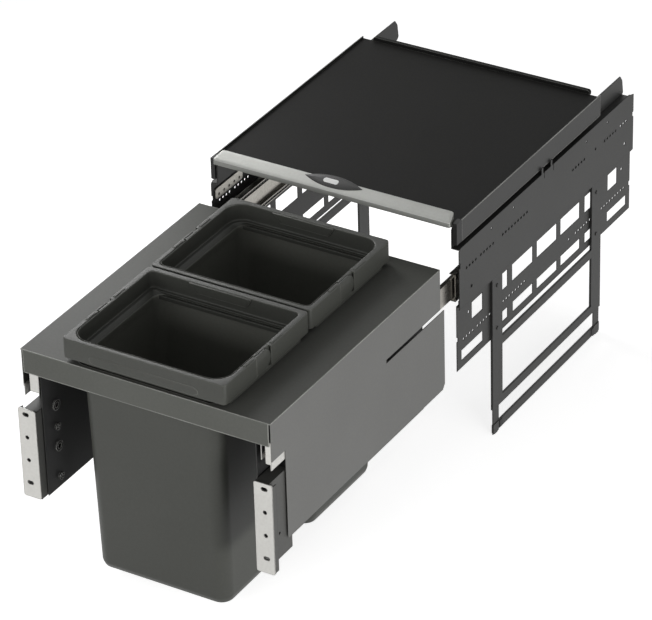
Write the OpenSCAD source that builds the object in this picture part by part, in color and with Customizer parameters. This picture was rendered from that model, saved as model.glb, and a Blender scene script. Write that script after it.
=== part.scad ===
// Pull out bin frame for a 450 mm base cabinet.
// Two side frames are screwed to the cabinet walls. A drawer with two hanging
// bins runs between them on full extension runners, and a cover shelf slides
// above it. The model is drawn as photographed, with the drawer pulled out.
// X is the width, Y points into the cabinet and Z is up from the cabinet floor.

/* [Whole unit] */
// Width across the outer faces of the two side frames
frame_w = 414; // [410:1:418]
// Distance from the drawer's front to the side frames' front edges
pull = 499; // [495:1:520]
// How far the drawer travels from here until it is closed
travel = 495; // [480:1:495]
// Height of the drawer's top plate above the cabinet floor
top_z = 357; // [354:1:362]

/* [Side frames] */
// Length of each side plate, front to back
plate_l = 540; // [535:1:560]
// Thickness of the side sheets
sheet = 1.2; // [1:0.1:1.4]
// Height of a side plate's top edge above the drawer's top plate
plate_up = 12; // [10:0.5:12]
// Drop from the drawer's top plate to the upper sheet's lower edge
crease_drop = 88; // [86:1:90]
// Drop from the drawer's top plate to the lower sheet's bottom edge
plate_drop = 192; // [188:1:196]
// Step inward from the upper sheet's outer face to the lower sheet's outer face
sheet_step = 4.8; // [4.6:0.1:4.8]
// Radius of the small holes in the two hole rows
row_hole_r = 2.2; // [1.8:0.1:2.4]
// Distance between neighbouring holes of a row
row_pitch = 9; // [8:0.1:9]
// Drop of the upper hole row below the drawer's top plate
row1_drop = 28; // [26:1:30]
// Drop of the lower hole row below the drawer's top plate
row2_drop = 147; // [145:1:149]
// Radius of the fixing screw holes
fix_hole_r = 2.5; // [2:0.1:2.8]
// Height of the upper row of windows
win1_h = 28; // [24:1:29]
// Drop of the upper window row's top edge
win1_drop = 99; // [98:1:101]
// Height of the lower row of windows
win2_h = 17; // [14:1:18]
// Drop of the lower window row's top edge
win2_drop = 163; // [162:1:164]

/* [Support legs] */
// Width of a leg, front to back
leg_w = 30; // [28:1:32]
// Thickness of a leg, across the unit
leg_t = 3.4; // [3.2:0.1:3.4]
// Distance from the plate's front edge to the front leg
leg_y = 99; // [96:1:102]
// Distance between the front faces of the two legs
leg_gap = 310; // [306:1:314]
// Height of the leg frame's upper and middle bars
leg_bar_h = 14; // [12:1:15]
// Drop from the plate's bottom edge to the leg frame's upper bar
leg_bar_drop = 7; // [6:1:10]
// Height of the leg frame's lower end above the cabinet floor
leg_end_z = 44; // [43.5:0.5:48]
// Height of the foot's bottom bar
foot_bar_h = 17; // [14:0.5:17]
// Width of the strip that slides in each leg
foot_strip_w = 18; // [16:1:20]
// Length of that strip above the cabinet floor
foot_strip_l = 112; // [105:1:120]
// How far the foot retracts into the legs
foot_lift = 25; // [20:1:25]

/* [Drawer] */
// Width of the drawer's top plate
drawer_w = 400; // [398:0.5:400]
// Length of the drawer's top plate
drawer_l = 456; // [452:1:458]
// Thickness of the top plate and of its front lip
top_t = 1.5; // [1.2:0.1:1.8]
// Height of the front lip
lip_h = 37; // [34:1:39]
// Drop from the top plate to the outer panel's bottom edge
outer_drop = 202; // [196:1:206]
// Length of the cut back lower front corner of the outer panel
notch_l = 35.5; // [34:0.5:38]
// Drop from the top plate to that cut back corner
notch_drop = 61; // [58:1:62]
// Extra length of the outer panel below its slot
tail_l = 11; // [8:1:14]
// Drop from the top plate to the slot in the outer panel
slot_drop = 66; // [65.5:0.5:66.5]
// Height of that slot
slot_h = 6; // [5.4:0.2:6.4]
// Length of that slot, open at the rear
slot_l = 152; // [148:1:156]
// Width across the outer faces of the inner panels
inner_w = 348; // [342:1:350]
// Drop from the top plate to the inner panel's bottom edge
inner_drop = 236; // [230:1:240]
// Distance from the drawer's front to the inner panel's front edge
inner_y = 5; // [3:0.5:8]
// Length of the inner panel
inner_l = 445; // [440:1:447]
// Distance from the drawer's front to the rear wall
rear_wall_y = 444; // [442:0.5:446]
// Height of the rear wall
rear_wall_h = 120; // [90:1:150]
// Half width of the cut-out that the bins hang in
cut_hw = 118; // [114:0.5:121]
// Distance from the drawer's front to the cut-out
cut_y = 6; // [4:0.5:7]
// Length of the cut-out
cut_l = 428; // [424:1:432]

/* [Runners] */
// Height of a cabinet runner
run_h = 45; // [43:1:46]
// Drop from the top plate to the top of the runners
run_drop = 35; // [34:0.5:36]
// Thickness of the runners' sheet
run_t = 1.2; // [1:0.1:1.4]
// Distance from the centre line to the cabinet runner's outer face
run_x = 197; // [196.6:0.1:197.4]
// Length of the cabinet runner and of the middle runner
run_l = 500; // [490:1:505]
// Distance from the side plate's front edge to the cabinet runner
run_y = 6; // [5:0.5:8]
// Length of the drawer runner
drawer_run_l = 440; // [420:1:442]
// Distance from the drawer's front to the drawer runner
drawer_run_y = 10; // [6:0.5:12]
// Length of the foot that holds the cabinet runner
run_foot_l = 190; // [160:5:200]

/* [Front brackets] */
// Width of a bracket's front face
face_w = 29; // [28:0.5:29]
// Height of a bracket's front face
face_h = 145; // [144:1:150]
// Drop from the top plate to the front face's top edge
face_drop = 91; // [90:1:94]
// Thickness of the zinc plated face plate
face_t = 1.5; // [1.2:0.1:1.8]
// Distance that the face stands in front of the drawer
face_proud = 9; // [8.5:0.5:10]
// Length of the bracket's outer web, front to back
web_l = 57; // [50:1:70]
// Distance between the four fixing holes
face_pitch = 37.3; // [36:0.1:38]
// Radius of the fixing holes
face_hole_r = 2.9; // [2.4:0.1:3.2]
// End-to-end length of the two slotted fixing holes
face_slot_l = 10; // [8:0.5:11]

/* [Bins] */
// Width across a bin's rim
rim_w = 260; // [256:1:262]
// Length of a bin's rim, front to back
rim_l = 217; // [214:0.5:218]
// Height of a bin's rim above the drawer's top plate
rim_up = 37.3; // [35:0.1:38]
// Gap between the two rims
rim_gap = 3.4; // [2:0.2:4]
// Distance from the drawer's front to the front bin's rim
rim_y = 1.4; // [1.2:0.1:2]
// Width of the bin's mouth
mouth_w = 242; // [238:0.5:242]
// Width of the bin's body at the top
body_w = 224; // [218:1:226]
// Width of the bin's body at its floor
base_w = 214; // [200:1:216]
// Height of the bin's floor above the cabinet floor
base_z = 19; // [12:1:30]
// Wall thickness of a bin
wall = 1.8; // [1.5:0.1:2.2]
// Height of the bin's carrying ledge
ledge_h = 6; // [5:0.5:6]
// Radius of the bail handle's pivot pins
pivot_r = 4; // [3:0.1:5]
// Radius of the bail handle's round ends
ear_r = 15; // [13:0.5:15]
// Highest angle of a bail handle above its folded place
bail_max = 90; // [80:1:90]

/* [Cover shelf] */
// Width across the outer faces of the cover's side channels
cover_w = 409; // [408:0.5:409.5]
// Height of the cover board's upper face above the drawer's top plate
cover_up = 50; // [48:0.5:52]
// Thickness of the cover board
board_t = 4; // [3:0.5:5]
// Length of the cover board
board_l = 436; // [425:1:440]
// Depth of the light front trim
trim_l = 21; // [18:1:22]
// Width of the light front trim
trim_w = 394; // [380:1:394]
// Height of the trim's front edge above the cover board
trim_up = 6; // [4:0.5:8]
// Rise of the trim's sloping face from front to rear
slope_rise = 7.5; // [5:0.5:9]
// Length of the dark grip on the trim
grip_w = 95; // [80:1:110]
// Depth of the dark grip on the trim
grip_l = 21; // [16:1:24]
// Height of the side channel's outer web
channel_h = 34.5; // [30:0.5:36]
// Length of the fixed rail that carries the cover
rail_l = 526; // [515:1:535]
// Height of that rail
rail_h = 34; // [32:0.5:34]
// How far the cover pulls out to the front
cover_travel = 300; // [200:5:320]

/* [Hidden] */
$fn = 48;

half_w = frame_w / 2;
unit_l = face_proud + pull + plate_l;
// front of the drawer and front edge of the side plates, along Y
drawer_y = -unit_l / 2 + face_proud;
plate_y = drawer_y + pull;

// the three layers of a side frame, from the outside inward
upper_in = half_w - sheet;
lower_out = half_w - sheet_step;
lower_in = lower_out - sheet;
crease_z = top_z - crease_drop;
plate_bot = top_z - plate_drop;
plate_top = top_z + plate_up;
// ledge that joins the lower sheet to the upper one
ledge_z = crease_z + 4;
ledge_lip = 11;

// hole groups as [distance from the plate's front edge, number of holes]
row1 = [[21, 4], [63, 5], [128, 4], [165, 5], [344, 5], [416, 1], [445, 5], [498, 3]];
row2 = [[20, 4], [61, 5], [130, 4], [167, 5], [342, 1], [364, 7], [448, 9]];
// windows as [distance from the plate's front edge, length]
win1 = [[44, 32], [130, 21], [165, 63], [241, 62], [315, 61], [392, 20], [467, 30]];
win2 = [[13, 63], [130, 21], [167, 61], [241, 63], [316, 61], [393, 20], [466, 62]];
// single fixing holes as [distance from the plate's front edge, drop]
fix_front = 35;
fix_rear = 512;
fix_drop = 65;
fix_low_drop = 110;
small_holes = [[161, 0], [95, 1], [455, 1], [387, 1]];
// hooks on the top edge, with a slit behind each, and notches in the end edges
hook_ys = [246, 274];
hook_w = 5;
hook_up = 10;
slit_w = 1.4;
notch_w = 3;
notch_h = 8;
front_notch_drops = [20, 143];
rear_notch_drops = [31, 152];

// height of the lower rivets in the leg frames above the lower sheet's bottom edge
rivet_up = 14;
rivet_r = 3;

leg_out = lower_out + leg_t;
leg_in = lower_out;
leg_top = crease_z + 1;
strip_t = 1.4;
strip_gap = 0.3;
strip_in = leg_in + (leg_t - strip_t) / 2;

run_top = top_z - run_drop;
run_bot = run_top - run_h;
run_mid = (run_top + run_bot) / 2;
run_flange = 10;
mid_h = run_h - 12;
mid_x = run_x - 3.8;
mid_flange = 6.6;
in_h = 23;
in_x = mid_x - 7.7;
in_w = 5.7;
ball_gap = 0.4;
// length of a row of balls, and its distance from the runner's ends
ball_row_l = 200;
ball_front = 20;
ball_rear = 38;
// length and half height of the blocks behind the drawer runner
block_l = 24;
block_hh = 10;
// distance of the first and the last block from the drawer runner's ends
block_end = 30;
block_ys = [drawer_run_y + block_end, drawer_run_y + drawer_run_l / 2 - 10,
            drawer_run_y + drawer_run_l - block_end - 20];
// length of the tab that joins the drawer runner to the front lip
tab_l = 34;
tab_t = 1.4;
tab_drop = 8.5;
// how far the left tab reaches from the inner panel, and the right one from the outer panel
left_tab_w = 15;
right_tab_w = 8.8;
// strip that stiffens the outer panel beside the runner
strip_w = 1.4;
strip_l = 60;
// sleeves between the inner and the outer panel
sleeve_r = 6;
sleeve_bore = 3;
sleeve_up = 20;
sleeve_front = 115;
sleeve_rear = 50;
sleeve_ys = [inner_y + sleeve_front, inner_y + inner_l - sleeve_rear];
panel_out = drawer_w / 2;
panel_in = panel_out - sheet;
lip_gap = 2.2;
inner_out = inner_w / 2;
inner_in = inner_out - sheet;
slot_mid = top_z - slot_drop - slot_h / 2;
foot_t = 2.4;

face_in = half_w - 31;
face_out = face_in + face_w;
face_top = top_z - face_drop;
// inner web beside the inner panel, and outer web behind the outer panel
web_x = face_in;
web_t = 2;
inner_web_l = 58;
outer_web_gap = 1.5;
outer_web_x = panel_in - outer_web_gap - web_t;
outer_web_up = 11;
top_flange_l = 50;
flange_t = 1.4;
// distance of the fixing holes from the middle of the face, outward
face_hole_out = 2;
adj_y = 35;
adj_drops = [102, 169];
screw_drops = [137, 219];
adj_r = 6;
screw_r = 2.5;

rim_top = top_z + rim_up;
rim_bot = top_z + ledge_h + 0.3;
bin_pitch = rim_l + rim_gap;
// the mouth's corner radii, at the unit's ends and between the two bins
mouth_r = 26;
mouth_mid_r = 8;
rim_r = 6;
skin = 2.2;
collar_t = 1.6;
bail_gap = 0.7;
pivot_y = 102;
pivot_z = rim_top - ear_r - 0.3;
pin_gap = 0.06;
// thickness of the bail's round ends, and how far their inner flange stays away
ear_t = 3.6;
ear_in = rim_w / 2 - ear_t;
flange_back = 21.5;
shoulder_h = 5.5;
body_front = 8;
body_rear = 8;
base_front = 14.6;
base_rear = 30.4;
body_r = 22;
base_rear_r = 9;
pad_t = 2.4;
// bevel round the bin's floor: across, along and up
base_in = 3;
base_cut = 5;
base_up = 9;

cover_y = plate_y - 8;
board_top = top_z + cover_up;
board_y = cover_y + 7;
channel_y = cover_y + trim_l + 0.3;
channel_top = board_top + 3.5;
channel_t = 1.5;
channel_lip = 10;
// glides between the channels' webs and the rails
glide_w = 6.7;
glide_l = 30;
glide_h = 12;
channel_in = cover_w / 2 - 13.5;
board_hw = cover_w / 2 - channel_t;
upstand_hw = channel_in - 5;
rail_x = half_w - 13;
rail_t = 2;
rail_bot = plate_top - 2;
rail_top = rail_bot + rail_h;
// width and depth of the caps on the fronts of the side channels
cap_w = 7;
cap_l = 15;
trim_taper = 5;
trim_nose = 2;
slope_z = board_top + trim_up;
// the grip and its inlay lie a little to the left of the middle
grip_x = -2;
grip_y = cover_y + trim_l - 5;
grip_up = 1.5;
inlay_x = -5.7;
inlay_y = grip_y - 1;

// box from two corners
module span(a, b) {
  translate(a)
    cube([b[0] - a[0], b[1] - a[1], b[2] - a[2]]);
}

// flat outline in the Y and Z plane, given thickness from x0 to x1
module side_sheet(x0, x1) {
  translate([x0, 0, 0])
    rotate([90, 0, 90])
      linear_extrude(x1 - x0)
        children();
}

// rectangle with round corners, all of true arcs
module round_rect(x0, y0, x1, y1, r) {
  translate([x0 + r, y0])
    square([x1 - x0 - 2 * r, y1 - y0]);
  translate([x0, y0 + r])
    square([x1 - x0, y1 - y0 - 2 * r]);
  for (x = [x0 + r, x1 - r], y = [y0 + r, y1 - r])
    translate([x, y])
      circle(r);
}

// cylinder along X from x0 to x1
module rod_x(x0, x1, r, y, z) {
  translate([x0, y, z])
    rotate([0, 90, 0])
      cylinder(h = x1 - x0, r = r);
}

// the outline shared by a whole row of small holes
module hole_row(groups, z) {
  for (g = groups, i = [0 : g[1] - 1])
    translate([plate_y + g[0] + i * row_pitch, z])
      circle(row_hole_r, $fn = 20);
}

module side_plate() {
  color([0.2, 0.2, 0.2])
    side_sheet(upper_in, half_w)
      difference() {
        union() {
          polygon([
            [plate_y, crease_z], [plate_y + plate_l, crease_z],
            [plate_y + plate_l, plate_top - 5], [plate_y + plate_l - 8, plate_top - 3],
            [plate_y + plate_l - 14, plate_top], [plate_y + 4, plate_top],
            [plate_y, plate_top - 4]
          ]);
          // two small hooks that hold the cover rail
          for (y = hook_ys)
            translate([plate_y + y, plate_top - 1])
              square([hook_w, hook_up + 1]);
        }
        hole_row(row1, top_z - row1_drop);
        for (y = [fix_front, fix_rear])
          translate([plate_y + y, top_z - fix_drop])
            circle(fix_hole_r);
        for (h = small_holes)
          translate([plate_y + h[0], top_z - h[1]])
            circle(1.8, $fn = 20);
        // slits beside the hooks
        for (y = hook_ys)
          translate([plate_y + y + hook_w + 3, plate_top - hook_up])
            square([slit_w, hook_up + 1]);
        // edge notches at the front and at the rear
        translate([plate_y - 1, top_z - front_notch_drops[0]])
          square([notch_w + 1, notch_h]);
        translate([plate_y + plate_l - notch_w, top_z - rear_notch_drops[0]])
          square([notch_w + 1, notch_h]);
      }
}

module window_plate() {
  color([0.2, 0.2, 0.2]) {
    side_sheet(lower_in, lower_out)
      difference() {
        translate([plate_y, plate_bot])
          square([plate_l, ledge_z - plate_bot]);
        for (w = win1)
          translate([plate_y + w[0], top_z - win1_drop - win1_h])
            square([w[1], win1_h]);
        for (w = win2)
          translate([plate_y + w[0], top_z - win2_drop - win2_h])
            square([w[1], win2_h]);
        hole_row(row2, top_z - row2_drop);
        for (y = [fix_front, fix_rear])
          translate([plate_y + y, top_z - fix_low_drop])
            circle(fix_hole_r);
        translate([plate_y - 1, top_z - front_notch_drops[1]])
          square([notch_w + 1, notch_h]);
        translate([plate_y + plate_l - notch_w, top_z - rear_notch_drops[1]])
          square([notch_w + 1, notch_h]);
      }
  }
}

// ledge on the lower sheet, with a lip that is welded behind the upper sheet
module plate_ledge() {
  color([0.2, 0.2, 0.2]) {
    span([lower_in, plate_y, ledge_z], [upper_in, plate_y + plate_l, ledge_z + sheet]);
    span([upper_in - sheet, plate_y, ledge_z + sheet - 0.01],
         [upper_in, plate_y + plate_l, ledge_z + ledge_lip]);
  }
}

module leg_frame() {
  y0 = plate_y + leg_y;
  y1 = y0 + leg_gap;
  strip_y = 2;
  color([0.17, 0.17, 0.17])
    difference() {
      union() {
        for (y = [y0, y1])
          span([leg_in, y, leg_end_z], [leg_out, y + leg_w, leg_top]);
        span([leg_in, y0, plate_bot - leg_bar_drop - leg_bar_h],
             [leg_out, y1 + leg_w, plate_bot - leg_bar_drop]);
        span([leg_in, y0, leg_end_z], [leg_out, y1 + leg_w, leg_end_z + leg_bar_h]);
      }
      // guides that the foot's strips run in
      for (y = [y0 + strip_y, y1 + leg_w - strip_y - foot_strip_w])
        span([strip_in - 0.2, y - strip_gap, leg_end_z - 1],
             [strip_in + strip_t + 0.2, y + foot_strip_w + strip_gap,
              foot_strip_l + foot_lift + 4]);
    }
}

module foot_frame() {
  y0 = plate_y + leg_y + 2;
  y1 = plate_y + leg_y + leg_gap + leg_w - 2 - foot_strip_w;
  color([0.17, 0.17, 0.17]) {
    for (y = [y0, y1])
      span([strip_in, y, 0], [strip_in + strip_t, y + foot_strip_w, foot_strip_l]);
    // bottom bar with a bevelled toe at each end
    side_sheet(leg_in, leg_out)
      polygon([
        [y0, 3], [y0 + 3, 0], [y0 + foot_strip_w - 6, 0], [y0 + foot_strip_w - 3, 3],
        [y1 + 3, 3], [y1 + 6, 0], [y1 + foot_strip_w - 3, 0], [y1 + foot_strip_w, 3],
        [y1 + foot_strip_w, foot_bar_h], [y0, foot_bar_h]
      ]);
  }
}

module foot_plugs() {
  y0 = plate_y + leg_y + 2 + foot_strip_w;
  y1 = plate_y + leg_y + leg_gap + leg_w - 2 - foot_strip_w;
  color([0.06, 0.06, 0.06])
    for (y = [y0, y1 - 8])
      span([leg_out, y, 4], [leg_out + 0.8, y + 8, foot_bar_h - 1]);
}

// channel with its back at x1 and two flanges that point to the centre line
module runner_channel(x1, h, flange, y, l) {
  span([x1 - run_t, y, run_mid - h / 2], [x1, y + l, run_mid + h / 2]);
  for (z = [run_mid - h / 2, run_mid + h / 2 - run_t])
    span([x1 - flange, y, z], [x1, y + l, z + run_t]);
}

module cabinet_runner() {
  color([0.7, 0.7, 0.68])
    runner_channel(run_x, run_h, run_flange, plate_y + run_y, run_l);
}

module middle_runner() {
  y = plate_y + run_y - travel / 2;
  color([0.72, 0.72, 0.7])
    difference() {
      runner_channel(mid_x, mid_h, mid_flange, y, run_l);
      for (d = [18, 38, run_l - 38, run_l - 18])
        rod_x(mid_x - run_t - 1, mid_x + 1, 2.2, y + d, run_mid);
    }
}

module ball_strips() {
  y = plate_y + run_y - travel / 2;
  top = run_mid + mid_h / 2;
  bot = run_mid - mid_h / 2;
  out_h = (run_h - mid_h) / 2 - run_t - ball_gap;
  in_gap = (mid_h - in_h) / 2 - run_t - ball_gap;
  color([0.5, 0.5, 0.5])
    for (m = [0, 1]) {
      // outer strips run in the cabinet runner, inner ones carry the drawer runner
      span([mid_x - 6, y + run_l - ball_rear - ball_row_l,
            m == 0 ? top : bot - out_h],
           [mid_x - 2, y + run_l - ball_rear, m == 0 ? top + out_h : bot]);
      span([mid_x - 6, y + ball_front, m == 0 ? top - run_t - in_gap : bot + run_t],
           [mid_x - 2, y + ball_front + ball_row_l, m == 0 ? top - run_t : bot + run_t + in_gap]);
    }
}

module drawer_runner() {
  y = drawer_y + drawer_run_y;
  color([0.7, 0.7, 0.68]) {
    span([in_x - run_t, y, run_mid - in_h / 2], [in_x, y + drawer_run_l, run_mid + in_h / 2]);
    for (z = [run_mid - in_h / 2, run_mid + in_h / 2 - run_t])
      span([in_x - run_t, y, z], [in_x + in_w - run_t, y + drawer_run_l, z + run_t]);
  }
}

module runner_foot() {
  y1 = plate_y + run_y + run_l;
  y0 = y1 - run_foot_l;
  color([0.25, 0.25, 0.25]) {
    span([run_x, y0, slot_mid - foot_t / 2], [upper_in, y1, slot_mid + foot_t / 2]);
    span([upper_in - 2, y0, slot_mid + foot_t / 2 - 0.01], [upper_in, y1, slot_mid + 24]);
  }
}

module runner_blocks() {
  color([0.3, 0.3, 0.3])
    for (m = [0, 1], y = block_ys)
      mirror([m, 0, 0])
        span([inner_out, drawer_y + y, run_mid - block_hh],
             [in_x - run_t, drawer_y + y + block_l, run_mid + block_hh]);
}

// tab behind the front lip, x0 to x1 wide, that holds the drawer runner
module runner_tab(x0, x1) {
  tab_x = in_x - run_t;
  y0 = drawer_y + top_t;
  color([0.78, 0.78, 0.76]) {
    span([x0, y0, run_mid - tab_drop], [x1, y0 + tab_t, run_top + 4]);
    // bar hidden behind the lip, and the arm on the drawer runner
    span([min(x0, tab_x - tab_t), y0, run_top - 1.5], [x1, y0 + tab_t, run_top + 4]);
    span([tab_x - tab_t, y0, run_mid - 4], [tab_x, y0 + tab_t, run_top + 4]);
    span([tab_x - tab_t, y0, run_mid - 4], [tab_x, drawer_y + tab_l, run_mid + 4]);
    // strip on the outer panel's inner face, seen below its cut back corner
    span([panel_in - strip_w, drawer_y + top_t, run_bot + 5],
         [panel_in, drawer_y + strip_l, run_mid + 1]);
  }
}

module run_in_guide() {
  color([0.55, 0.54, 0.5])
    side_sheet(upper_in - 2, upper_in)
      difference() {
        round_rect(plate_y + 7, top_z - 21, plate_y + 81, top_z - 4, 4);
        for (y = [16, 30, 44, 58, 72])
          translate([plate_y + y, top_z - 15])
            circle(2.2, $fn = 24);
      }
}

module cover_rail() {
  color([0.22, 0.22, 0.22]) {
    side_sheet(rail_x, rail_x + rail_t)
      polygon([
        [plate_y, rail_bot], [plate_y + rail_l - 4, rail_bot],
        [plate_y + rail_l, rail_bot + 4], [plate_y + rail_l - 3, rail_top - 9],
        [plate_y + rail_l - 9, rail_top], [plate_y + 3, rail_top], [plate_y, rail_top - 3]
      ]);
    span([rail_x, plate_y, rail_bot], [upper_in, plate_y + rail_l - 4, rail_bot + rail_t]);
  }
}

module plate_rivets() {
  color([0.35, 0.35, 0.35])
    for (m = [0, 1])
      mirror([m, 0, 0])
        for (y = [leg_y + leg_w / 2, leg_y + leg_gap + leg_w / 2],
             z = [crease_z - rivet_up - 4, plate_bot + rivet_up])
          rod_x(leg_out, leg_out + 1, rivet_r, plate_y + y, z);
}

module top_plate() {
  color([0.3, 0.3, 0.3]) {
    difference() {
      span([-drawer_w / 2, drawer_y, top_z - top_t], [drawer_w / 2, drawer_y + drawer_l, top_z]);
      translate([0, 0, top_z - top_t - 1])
        linear_extrude(top_t + 2)
          round_rect(-cut_hw, drawer_y + cut_y, cut_hw, drawer_y + cut_y + cut_l, 20);
    }
    // front lip, with a gap beside each outer panel
    span([-panel_in + lip_gap, drawer_y, top_z - lip_h],
         [panel_in - lip_gap, drawer_y + top_t, top_z - top_t + 0.01]);
    span([-inner_in, drawer_y + drawer_l - top_t, top_z - 14],
         [inner_in, drawer_y + drawer_l, top_z - top_t + 0.01]);
  }
}

module outer_panel() {
  y0 = drawer_y + top_t;
  y1 = drawer_y + drawer_l;
  bot = top_z - outer_drop;
  color([0.42, 0.42, 0.41])
    side_sheet(panel_in, panel_out)
      polygon([
        [y0, top_z - top_t], [y0, top_z - notch_drop],
        [drawer_y + notch_l, top_z - notch_drop], [drawer_y + notch_l, bot],
        [y1 + tail_l - 6, bot], [y1 + tail_l, bot + 8],
        [y1 + tail_l, top_z - slot_drop - slot_h],
        [y1 - slot_l, top_z - slot_drop - slot_h], [y1 - slot_l, top_z - slot_drop],
        [y1, top_z - slot_drop], [y1, top_z - top_t]
      ]);
}

module inner_panel() {
  color([0.16, 0.16, 0.16])
    side_sheet(inner_in, inner_out)
      difference() {
        translate([drawer_y + inner_y, top_z - inner_drop])
          square([inner_l, inner_drop - top_t]);
        for (d = adj_drops)
          translate([drawer_y + adj_y, top_z - d])
            circle(adj_r + 0.05);
        for (d = screw_drops)
          translate([drawer_y + adj_y, top_z - d])
            circle(screw_r + 0.05);
      }
}

module rear_wall() {
  color([0.16, 0.16, 0.16])
    span([-inner_in, drawer_y + rear_wall_y, top_z - top_t - rear_wall_h],
         [inner_in, drawer_y + rear_wall_y + sheet, top_z - top_t]);
}

module panel_spacers() {
  color([0.6, 0.6, 0.6])
    for (m = [0, 1], y = sleeve_ys)
      mirror([m, 0, 0])
        difference() {
          rod_x(inner_out, panel_in, sleeve_r, drawer_y + y, top_z - outer_drop + sleeve_up);
          rod_x(inner_out - 1, panel_in + 1, sleeve_bore, drawer_y + y,
                top_z - outer_drop + sleeve_up);
        }
}

// the four holes of a bracket's face, slotted at the top and the bottom
module face_holes(x) {
  for (i = [0 : 3]) {
    z = face_top - 9 - i * face_pitch;
    s = (i == 0 || i == 3) ? face_slot_l / 2 - face_hole_r : 0;
    translate([x - s, z])
      circle(face_hole_r);
    translate([x + s, z])
      circle(face_hole_r);
    if (s > 0)
      translate([x - s, z - face_hole_r])
        square([2 * s, 2 * face_hole_r]);
  }
}

module front_bracket() {
  y = drawer_y - face_proud + face_t;
  color([0.24, 0.24, 0.23]) {
    translate([0, y + face_t, 0])
      rotate([90, 0, 0])
        linear_extrude(face_t)
          difference() {
            round_rect(face_in, face_top - face_h, face_out, face_top, 3);
            face_holes((face_in + face_out) / 2 + face_hole_out);
          }
    // outer return flange
    span([face_out - flange_t, y, face_top - face_h + 3], [face_out, y + 9, face_top - 3]);
    // inner web that the adjusters hold
    span([web_x, y, face_top - face_h], [web_x + web_t, y + inner_web_l, face_top - 2]);
    // outer web with a small hole
    difference() {
      span([outer_web_x, y, face_top - face_h + outer_web_up],
           [outer_web_x + web_t, y + web_l, face_top - 2]);
      rod_x(outer_web_x - 1, outer_web_x + web_t + 1, 2, drawer_y + 18, face_top - 94);
    }
    // top flange that joins the two webs
    span([web_x, y, face_top - 2 - flange_t],
         [outer_web_x + web_t, y + top_flange_l, face_top - 2]);
  }
}

module bracket_face() {
  y = drawer_y - face_proud;
  color([0.8, 0.8, 0.79])
    translate([0, y + face_t, 0])
      rotate([90, 0, 0])
        linear_extrude(face_t)
          difference() {
            round_rect(face_in, face_top - face_h, face_out, face_top, 3);
            face_holes((face_in + face_out) / 2 + face_hole_out);
          }
}

module adjusters() {
  color([0.6, 0.6, 0.6])
    for (d = adj_drops)
      difference() {
        union() {
          rod_x(inner_in - 2.4, inner_in, 8, drawer_y + adj_y, top_z - d);
          rod_x(inner_in - 0.01, web_x, adj_r, drawer_y + adj_y, top_z - d);
        }
        rod_x(inner_in - 3, inner_in + 6, 4, drawer_y + adj_y, top_z - d);
      }
}

module bracket_screws() {
  color([0.55, 0.55, 0.55])
    for (d = screw_drops)
      difference() {
        union() {
          rod_x(inner_in - 3, inner_in, 5.5, drawer_y + adj_y, top_z - d);
          rod_x(inner_in - 0.01, web_x, screw_r, drawer_y + adj_y, top_z - d);
        }
        for (a = [0, 90])
          translate([inner_in - 3, drawer_y + adj_y, top_z - d])
            rotate([a, 0, 0])
              cube([3, 1.2, 6.4], center = true);
      }
}

// corners of one slice of a bin's body, rounded by r in front and rr at the rear
module body_slice(z, hw, y0, y1, r, rr) {
  translate([0, 0, z])
    linear_extrude(0.2)
      for (m = [-1, 1]) {
        translate([m * (hw - r), y0 + r])
          circle(r, $fn = 32);
        translate([m * (hw - rr), y1 - rr])
          circle(rr, $fn = 32);
      }
}

// solid body, d mm inside the outer skin
module bin_body(y, d, floor_z) {
  hull() {
    body_slice(top_z + 0.8, body_w / 2 - d, y + body_front + d, y + rim_l - body_rear - d,
               body_r - d, body_r - d);
    body_slice(floor_z + base_up, base_w / 2 - d, y + base_front + d,
               y + rim_l - base_rear - d, body_r - d, base_rear_r - d);
    body_slice(floor_z, base_w / 2 - base_in - d, y + base_front + base_cut + d,
               y + rim_l - base_rear - base_cut - d, body_r - base_cut - d,
               base_rear_r - base_in - d);
  }
}

// ring between the rim's outer outline and the collar, inset by d
module rim_outline(y, d, r) {
  round_rect(-rim_w / 2 + d, y + d, rim_w / 2 - d, y + rim_l - d, r);
}

// outline of the mouth, d mm outside it; a turned bin has its wide corners behind
module mouth_outline(y, d, turned) {
  m = (rim_w - mouth_w) / 2;
  near = (turned ? mouth_mid_r : mouth_r) + d;
  far = (turned ? mouth_r : mouth_mid_r) + d;
  x = mouth_w / 2 + d;
  y0 = y + m - d;
  y1 = y + rim_l - m + d;
  polygon([
    [-x, y0 + near], [near - x, y0], [x - near, y0], [x, y0 + near],
    [x, y1 - far], [x - far, y1], [far - x, y1], [-x, y1 - far]
  ]);
  for (i = [-1, 1]) {
    translate([i * (x - near), y0 + near])
      circle(near);
    translate([i * (x - far), y1 - far])
      circle(far);
  }
}

// outline of the trapezoid pad on the rear inner wall, in X and Z
module pad_outline() {
  polygon([
    [-58, rim_top - 1], [-52, rim_top - 6], [-45, rim_top - 15],
    [34, rim_top - 15], [38, rim_top - 12], [44, rim_top - 1]
  ]);
}

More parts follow.
